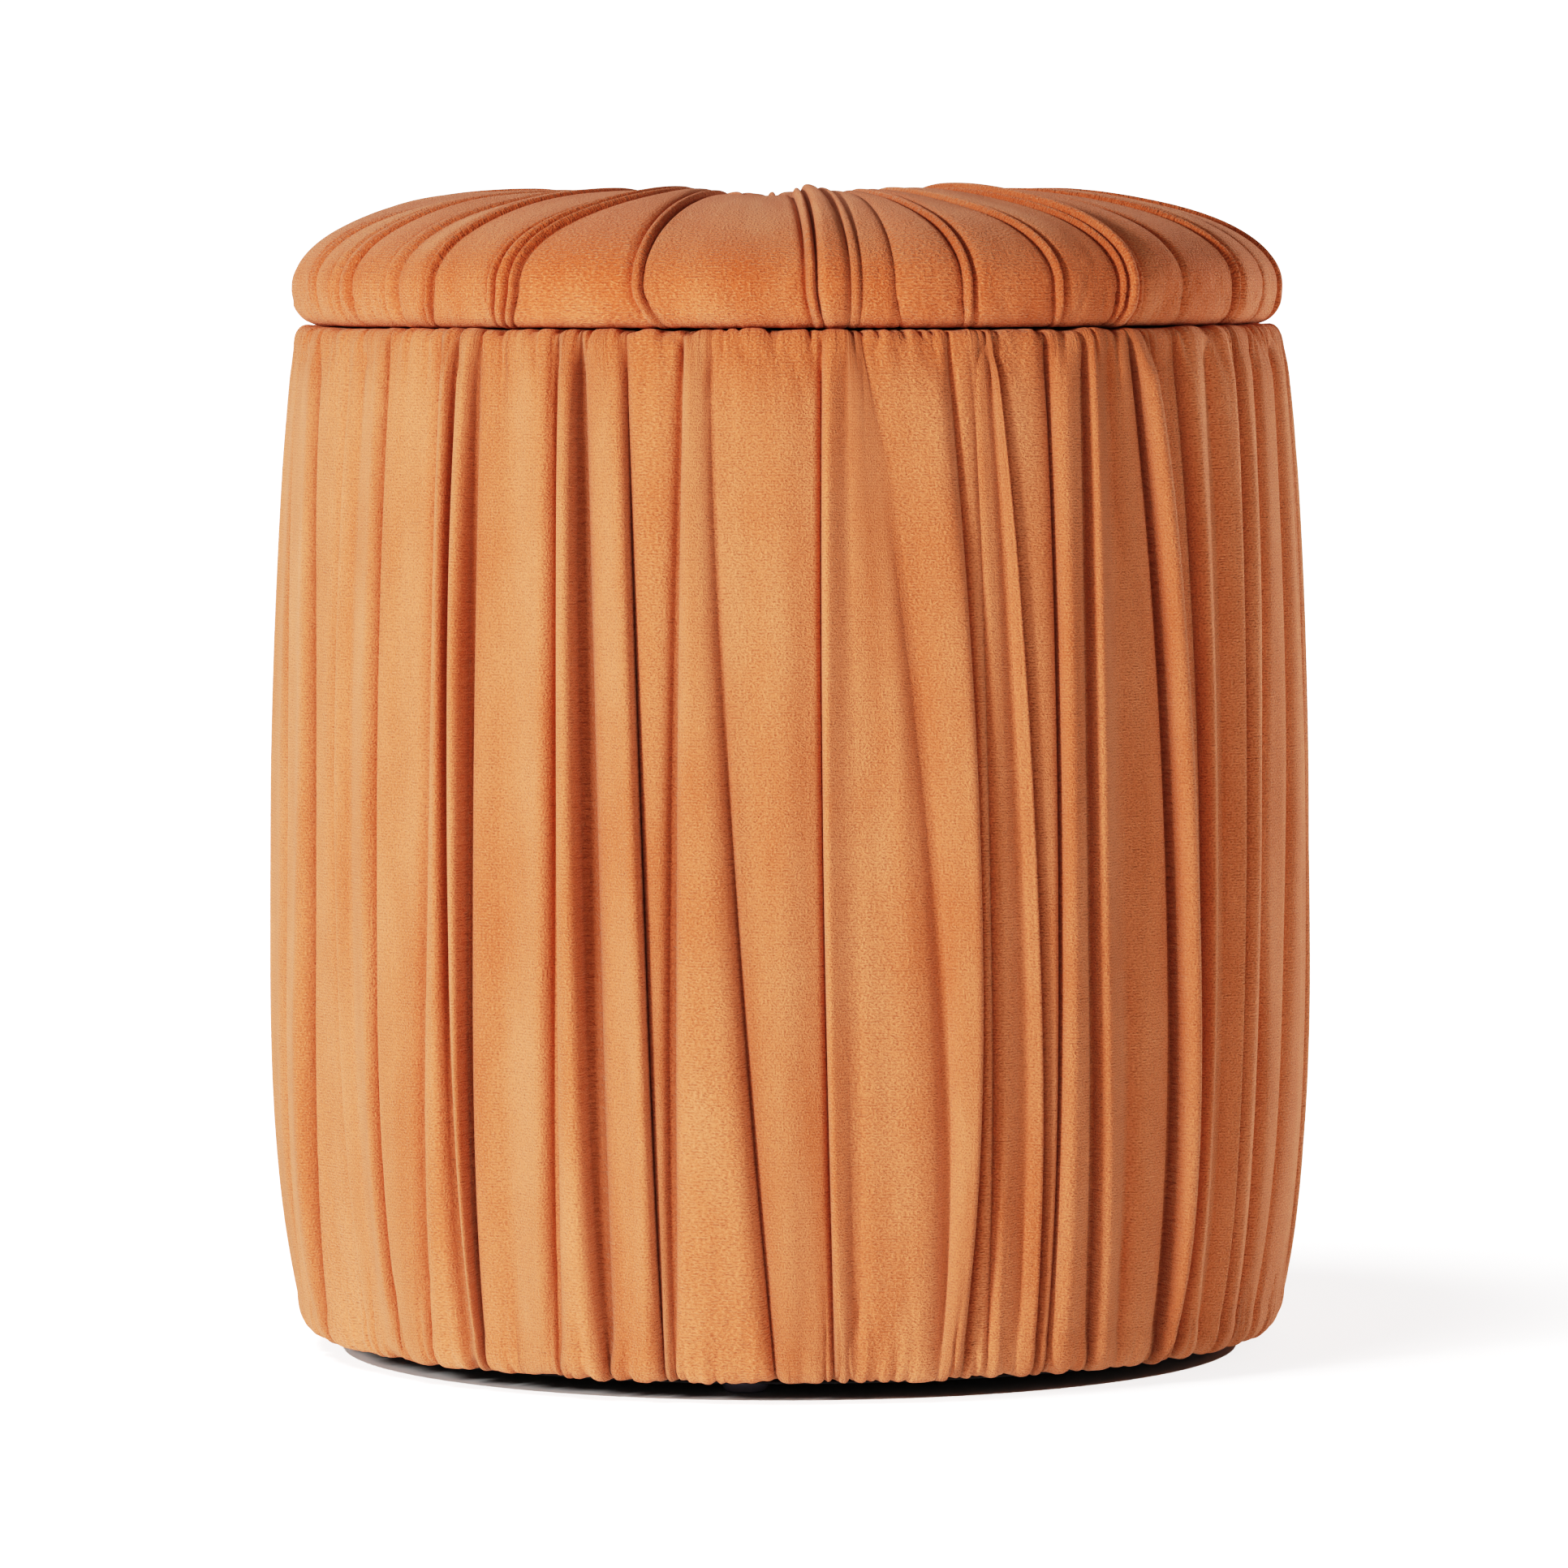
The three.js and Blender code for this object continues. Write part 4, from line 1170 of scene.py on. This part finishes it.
# %% Feet
SOLE_TAPER = 2.5 * MM
RIM_HEIGHT = 1.6 * MM
RECESS_FLOOR = 2.3 * MM  # plastic left above the screw's recess
SCREW_HOLE = 1.9 * MM
HEAD_PLAY = 0.3 * MM

smoky_plastic = speckled("smoky_plastic", (0.33, 0.30, 0.37), (0.42, 0.39, 0.47), 6 * MM, 0.05,
                         Roughness=0.32, Subsurface_Weight=0.25, Coat_Weight=0.2,
                         Subsurface_Radius=(2 * MM, 2 * MM, 2.4 * MM))


def rounded(corners, radius, steps=4):
    """A closed outline with each corner cut back by a radius and bent round it."""
    corners = np.array(corners, float)
    before, after = np.roll(corners, 1, axis=0), np.roll(corners, -1, axis=0)
    pieces = []
    for a, p, b in zip(before, corners, after):
        sides = [np.linalg.norm(q - p) for q in (a, b)]
        cut = [min(radius, 0.45 * side) / side for side in sides]
        start, end = p + (a - p) * cut[0], p + (b - p) * cut[1]
        pieces += [bend(start, p, end, steps), [end]]
    return np.concatenate(pieces)


def foot(name):
    """One glide: a tapered puck with a recess underneath for its screw's head."""
    low, high = (np.array(c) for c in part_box(name))
    x, y = (low[:2] + high[:2]) / 2
    wide, top = (high[0] - low[0]) / 2, high[2]
    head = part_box(name.replace("foot", "foot_screw"))[1][0] - x + HEAD_PLAY
    recess = top - RECESS_FLOOR
    outline = rounded([(SCREW_HOLE, top), (wide, top), (wide, top - RIM_HEIGHT),
                       (wide - SOLE_TAPER, 0), (head, 0), (head, recess), (SCREW_HOLE, recess)],
                      0.8 * MM)
    return turned(f"glide_{name[-1]}", outline, 56, smoky_plastic, centre=(x, y))


for number in range(1, 5):
    piece = foot(f"foot_{number}")
    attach(piece, "base")
    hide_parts(f"foot_{number}")
print("4 feet of", len(piece.data.polygons), "faces")

# %% [markdown]
# ## Black lining
# The storage space, the underside of the lid and the bottom of the stool are lined with
# thin black non-woven cloth. It is pressed with a fine pattern of dots and it creases
# softly where it is drawn over an edge.


# %% Lining material
DOT_STEP = 1.6 * MM


def non_woven(name):
    """Black non-woven cloth: a diamond pattern of pressed dots, two sine waves across the
    cloth multiplied, over a fine fibrous noise."""
    material, graph, shader = new_material(name, Roughness=0.78, Sheen_Weight=0.15)
    cloth = graph.cloth_place()
    x, y = (graph.maths("SINE", graph.maths("MULTIPLY", graph.xyz(cloth)[way], TURN / DOT_STEP))
            for way in ("X", "Y"))
    dots = graph.maths("GREATER_THAN", graph.maths("MULTIPLY", x, y), 0.35)
    fibre = graph.noise(cloth, 1400.0, Detail=3)
    height = graph.maths("SUBTRACT", graph.maths("MULTIPLY", fibre, 0.5), dots)
    colour = graph.mixed(dots, rgba((0.016, 0.016, 0.018)), rgba((0.009, 0.009, 0.010)))
    graph.fill(shader, Base_Color=colour, Normal=graph.bump(height, 0.12 * MM, 0.6))
    return material


black_lining = non_woven("black_non_woven")
print("material", black_lining.name)


# %% Lining pieces
LINING = 0.7 * MM  # thickness of the cloth
FLAT_SHARE = math.cos(math.pi / 36)  # a solid of 36 sides is this much narrower at its flats
CUP_ROUND = 2.2 * MM
HANG_ROWS = 60
DISC_ROWS = 39


def lining_radius(cad, play):
    """The radius of a round piece of lining that stays inside the flats of its solid."""
    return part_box(cad)[1][0] * FLAT_SHARE - play


def wall_lining():
    """The lining of the storage wall: a tube of cloth that hangs from the card strip in
    slow vertical ripples, which die out at both its edges. Ripples only go inwards."""
    low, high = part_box("lining_wall")
    outer, last = lining_radius("lining_wall", 0.1 * MM), 2 * HANG_ROWS - 1
    z = np.linspace(low[2] + 0.2 * MM, high[2] - 0.2 * MM, HANG_ROWS)
    outline = np.concatenate([np.stack([outer + 0 * z, z], -1)[::-1],
                              np.stack([outer - LINING + 0 * z, z], -1)])

    def ripple(angle, row):
        place = np.minimum(row, last - row) / (HANG_ROWS - 1)
        wave = lattice_noise(angle / TURN * 30, place * 3, 30, 3, 31) + 1
        return np.where(row < HANG_ROWS, -0.9, 0.9) * MM * wave * np.sin(math.pi * place)

    return turned("storage_lining", outline, 240, black_lining, swell=ripple)


def flat_lining(name, cad, bulge, seed):
    """A round of cloth drawn flat: a thin disc whose two faces share slow wrinkles."""
    low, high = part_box(cad)
    r = np.linspace(0, lining_radius(cad, 0.3 * MM), DISC_ROWS + 1)[1:]
    top = np.stack([r, high[2] + 0 * r], -1)
    under = np.stack([r, low[2] + 0 * r], -1)[::-1]
    outline = np.concatenate([[(0, high[2])], top, under, [(0, low[2])]])

    def wrinkle(angle, row):
        place = np.minimum(row, 2 * DISC_ROWS - 1 - row)
        wave = lattice_noise(angle / TURN * 18, place / 8, 18, 5, seed)
        drawn = np.sin(math.pi * place / (DISC_ROWS - 1))
        return np.where(row < DISC_ROWS, bulge, -bulge) * wave * drawn

    return turned(name, outline, 120, black_lining, swell=wrinkle)


def cup_lining():
    """The lining of the lid's locating disc: a shallow cup of cloth under the disc and up
    its edge, softly rounded at the corner."""
    low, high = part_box("lid_lining")
    r = lining_radius("lid_lining", 0.1 * MM)
    bottom, flat_r = low[2], r - CUP_ROUND
    flat = np.linspace(0, flat_r, 40, endpoint=False)[1:]
    outside = np.concatenate([straight((r, high[2]), (r, bottom + CUP_ROUND), 5),
                              bend((r, bottom + CUP_ROUND), (r, bottom), (flat_r, bottom), 7),
                              [(flat_r, bottom)], np.stack([flat[::-1], bottom + 0 * flat], -1)])
    inside = (outside - outward(outside) * LINING)[::-1]
    outline = np.concatenate([[(0, bottom + LINING)], inside, outside, [(0, bottom)]])
    return turned("disc_lining", outline, 180, black_lining)


LININGS = (
    (wall_lining(), "base", "lining_wall",
     dict(flat=(0.985, 0.379), held="stretched", rests_on=["tack_strip"])),
    (flat_lining("floor_lining", "storage_floor", 0.5 * MM, 41), "base", "storage_floor",
     dict(flat=(0.31, 0.31), held="laid", rests_on=["base_board"], area=math.pi * 0.155 ** 2)),
    (flat_lining("underside_cloth", "dust_cover", 0.15 * MM, 43), "base", "dust_cover",
     dict(flat=(0.356, 0.356), held="stretched", rests_on=["base_board"],
          area=math.pi * 0.178 ** 2)),
    (cup_lining(), "lid", "lid_lining",
     dict(flat=(0.335, 0.335), held="stretched", rests_on=["locating_disc"],
          area=math.pi * 0.1675 ** 2)),
)
for piece, body, cad, cloth in LININGS:
    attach(piece, body)
    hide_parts(cad)
    print(piece.name, len(piece.data.polygons), "faces")

# %% [markdown]
# ## Wood, board, card, steel and twine
# The frame's own solids already have the right shape, so they only need a finish. Plywood
# shows a veneer on its faces and stripes of plies on its edges; the posts are plain
# softwood with a long grain; the skin is brown hardboard.


# %% Grain group
def build_grain_group():
    """Long wood grain: noise drawn out forty times along the length, bent a little by a
    slower noise. Long is the vector whose first number runs along the grain."""
    graph, given, result = new_group("wood_grain", {"Long": None, "Scale": 260.0},
                                     ("Grain", "Normal"))
    grain = graph.noise(graph.scaled(given["Long"], (0.025, 1, 1)), given["Scale"],
                        Detail=4, Roughness=0.55, Distortion=0.4)
    graph.fill(result, Grain=grain, Normal=graph.bump(grain, 0.2 * MM, 0.25))
    return graph.tree


grain_group = build_grain_group()
PLY_EDGE, PLY_DARK = 0.75, 0.45  # how strong the stripes of plies are, and how dark


def wooden(name, turn, light, dark, plies=None):
    """Wood with its grain along X, or along Z where turn is a quarter circle about Y. Where
    plies gives a spacing, faces that look sideways show stripes of that height."""
    material, graph, shader = new_material(name, Roughness=0.62)
    place = graph.own_place()
    grain = graph.node("Group", {"node_tree": grain_group},
                       Long=graph.node("Mapping", Vector=place, Rotation=(0, turn, 0)).outputs[0])
    light_share = graph.between(grain.outputs["Grain"], 0.35, 0.65)
    colour = graph.mixed(light_share, rgba(dark), rgba(light))
    if plies:
        facing = graph.xyz(graph.node("NewGeometry").outputs["Normal"])["Z"]
        height = graph.maths("MULTIPLY", graph.xyz(place)["Z"], math.pi / plies)
        dark_ply = graph.maths("GREATER_THAN", graph.maths("SINE", height), 0.0)
        sideways = graph.maths("LESS_THAN", graph.maths("ABSOLUTE", facing), 0.5)
        stripes = graph.maths("MULTIPLY", dark_ply, sideways)
        colour = graph.mixed(graph.maths("MULTIPLY", stripes, PLY_EDGE), colour,
                             rgba(PLY_DARK * np.array(dark)))
    graph.fill(shader, Base_Color=colour, Normal=grain.outputs["Normal"])
    return material


# %% Frame finishes
FINISHES = {
    "base_board mouth_ring lid_board locating_disc":
        wooden("poplar_plywood", 0, (0.66, 0.50, 0.32), (0.50, 0.34, 0.19), plies=1.5 * MM),
    "post": wooden("pine", math.pi / 2, (0.72, 0.52, 0.30), (0.55, 0.34, 0.16)),
    "drum_skin": speckled("hardboard", (0.13, 0.075, 0.04), (0.22, 0.13, 0.07), 1.2 * MM, 0.3,
                          Roughness=0.7),
    "tack_strip": speckled("grey_card", (0.30, 0.27, 0.23), (0.40, 0.37, 0.32), 0.9 * MM, 0.2,
                           Roughness=0.9),
    "base_screw ring_screw disc_screw foot_screw twine_washer":
        speckled("zinc_steel", (0.50, 0.51, 0.54), (0.68, 0.68, 0.66), 2.5 * MM, 0.06,
                 Roughness=0.34, Metallic=0.95),
    "tuft_twine": speckled("waxed_twine", (0.55, 0.50, 0.40), (0.72, 0.68, 0.58), 0.6 * MM, 0.8,
                           Roughness=0.8),
}
finished = 0
for names, material in FINISHES.items():
    for name in nodes:
        if name.rsplit("_", 1)[0] in names.split() or name in names.split():
            for place in bpy.data.objects[name].material_slots:
                place.material = material
            finished += 1
print("frame nodes finished:", finished)

# %% [markdown]
# ## Studio
# A white floor on a white ground. The key lamp stands low at the front left, small enough
# for each fold to throw a clear shadow on the next panel; the white floor lights the stool
# from below. Two soft lamps, one at the right and one behind, light only the velvet, so
# that its far sides don't fall into darkness. The floor has two suns of its own, which
# don't reach the stool. One stands overhead and is shaded only by the underside: it keeps
# the paper white up to the stool's edge, and leaves it dark underneath. The other comes
# from the front left and gives the soft shadow on the paper at the stool's right.


# %% Floor
PAPER_BOUNCE = 0.34  # how much of its light the paper passes on to the stool
PAPER_WHITE = 0.86  # and how much to the camera
FLOOR_POINTS = 13


def studio_floor():
    """A flat floor, one sheet of points, wide enough to run past the horizon."""
    across, back = np.meshgrid(np.linspace(-30, 30, FLOOR_POINTS),
                               np.linspace(-12, 60, FLOOR_POINTS), indexing="ij")
    points = np.stack([across, back, 0 * across], -1).reshape(-1, 3)
    paper, graph, shader = new_material("studio_paper", Roughness=0.9, Specular_IOR_Level=0.0)
    seen = graph.node("LightPath").outputs["Is Camera Ray"]
    colour = graph.mixed(seen, rgba([PAPER_BOUNCE] * 3), rgba([PAPER_WHITE] * 3))
    graph.fill(shader, Base_Color=colour)
    faces = grid_faces(FLOOR_POINTS, FLOOR_POINTS, closed=False)
    return mesh_object("studio_floor", points, [faces], paper)


floor = studio_floor()
print("floor:", len(floor.data.polygons), "faces")


# %% Lamps
WARM_WHITE, COOL_WHITE, WHITE = (1.0, 0.985, 0.965), (1.0, 0.99, 0.98), (1, 1, 1)
MIDDLE = (0, 0, 0.24)


def lamp(name, kind, where, target, power, tint, **values):
    """A lamp that looks from one point at another."""
    data = bpy.data.lights.new(name, kind)
    data.energy, data.color = power, tint
    for key, value in values.items():
        setattr(data, key, value)
    made = in_scene(name, data)
    made.location = where
    towards = Vector(where) - Vector(target)
    made.rotation_euler = towards.to_track_quat("Z", "Y").to_euler()
    return made


def soft_lamp(name, azimuth, elevation, distance, power, tint, size):
    """A square lamp that looks at the middle of the stool from degrees right of the front
    and degrees up."""
    a, e = math.radians(azimuth), math.radians(elevation)
    where = (distance * math.sin(a) * math.cos(e), -distance * math.cos(a) * math.cos(e),
             MIDDLE[2] + distance * math.sin(e))
    return lamp(name, "AREA", where, MIDDLE, power, tint, size=size)


def floor_sun(name, where, power, spread_angle):
    """A sun that looks at the middle of the floor."""
    return lamp(name, "SUN", where, (0, 0, 0), power, WHITE, angle=math.radians(spread_angle))


def light_only(light, name, pieces, shaded_by=()):
    """Let a lamp reach only these pieces, and be shaded only by those, where any are given."""
    reached = bpy.data.collections.new(name)
    for piece in pieces:
        reached.objects.link(piece)
    light.light_linking.receiver_collection = reached
    if shaded_by:
        shading = bpy.data.collections.new(name + "_shade")
        for piece in shaded_by:
            shading.objects.link(piece)
        light.light_linking.blocker_collection = shading


key = soft_lamp("key_lamp", -43, 15, 3.2, 90, WARM_WHITE, 0.45)
side = soft_lamp("side_lamp", 132, 10, 2.6, 46, COOL_WHITE, 0.9)
back = soft_lamp("back_lamp", 196, 34, 2.8, 40, COOL_WHITE, 1.2)
wash = floor_sun("floor_wash", (0, 0, 4), 4.4, 4)
shade = floor_sun("floor_shade", (-1.6, -1.2, 4), 4.6, 24)
light_only(back, "stool_from_behind", [body_velvet, lid_velvet, velvet_button])
light_only(side, "only_stool", [body_velvet, lid_velvet])
light_only(wash, "only_floor", [floor], shaded_by=[bpy.data.objects["underside_cloth"]])
light_only(shade, "only_floor_too", [floor])
print("lamps:", ", ".join(made.name for made in (key, side, back, wash, shade)))

# %% Surroundings
SKY_LIGHT = 0.22
SKY_WHITE = 2.4


def white_ground():
    """A world that looks white behind everything and lights the stool only softly."""
    world = bpy.data.worlds.new("studio_air")
    world.use_nodes = True
    graph = Graph(world.node_tree)
    seen = graph.node("LightPath").outputs["Is Camera Ray"]
    strength = graph.maths("MULTIPLY_ADD", seen, SKY_WHITE - SKY_LIGHT, SKY_LIGHT)
    graph.fill(world.node_tree.nodes["Background"], Color=rgba((1, 1, 1)), Strength=strength)
    return world


bpy.context.scene.world = white_ground()

# %% [markdown]
# ## Film response
# A studio picture has a tone curve of its own: deep shade a little deeper, then a straight
# middle, then a long shoulder up to white. It works on red, green and blue one by one, so
# bright velvet turns paler and shade richer. Each point below pairs a scene brightness with
# the picture brightness that it comes out as.

# %% Film response
FILM_WHITE = 2.2  # the brightness that comes out as paper white
ALL_CHANNELS = 3  # the curve that works on red, green and blue alike
TONES = ((0.029, 0.01), (0.06, 0.03), (0.125, 0.09), (0.226, 0.2),
         (0.42, 0.42), (0.656, 0.6), (1.158, 0.82), (1.66, 0.93))


def film_response(points):
    """Lay the tone curve over the plain view, and count its points."""
    settings = bpy.context.scene.view_settings
    settings.view_transform = "Standard"
    settings.look = "None"
    settings.use_curve_mapping = True
    mapping = settings.curve_mapping
    mapping.white_level = (FILM_WHITE, FILM_WHITE, FILM_WHITE)
    for x, y in points:
        mapping.curves[ALL_CHANNELS].points.new(x / FILM_WHITE, y)
    mapping.update()
    return len(mapping.curves[ALL_CHANNELS].points)


print("tone curve of", film_response(TONES), "points")
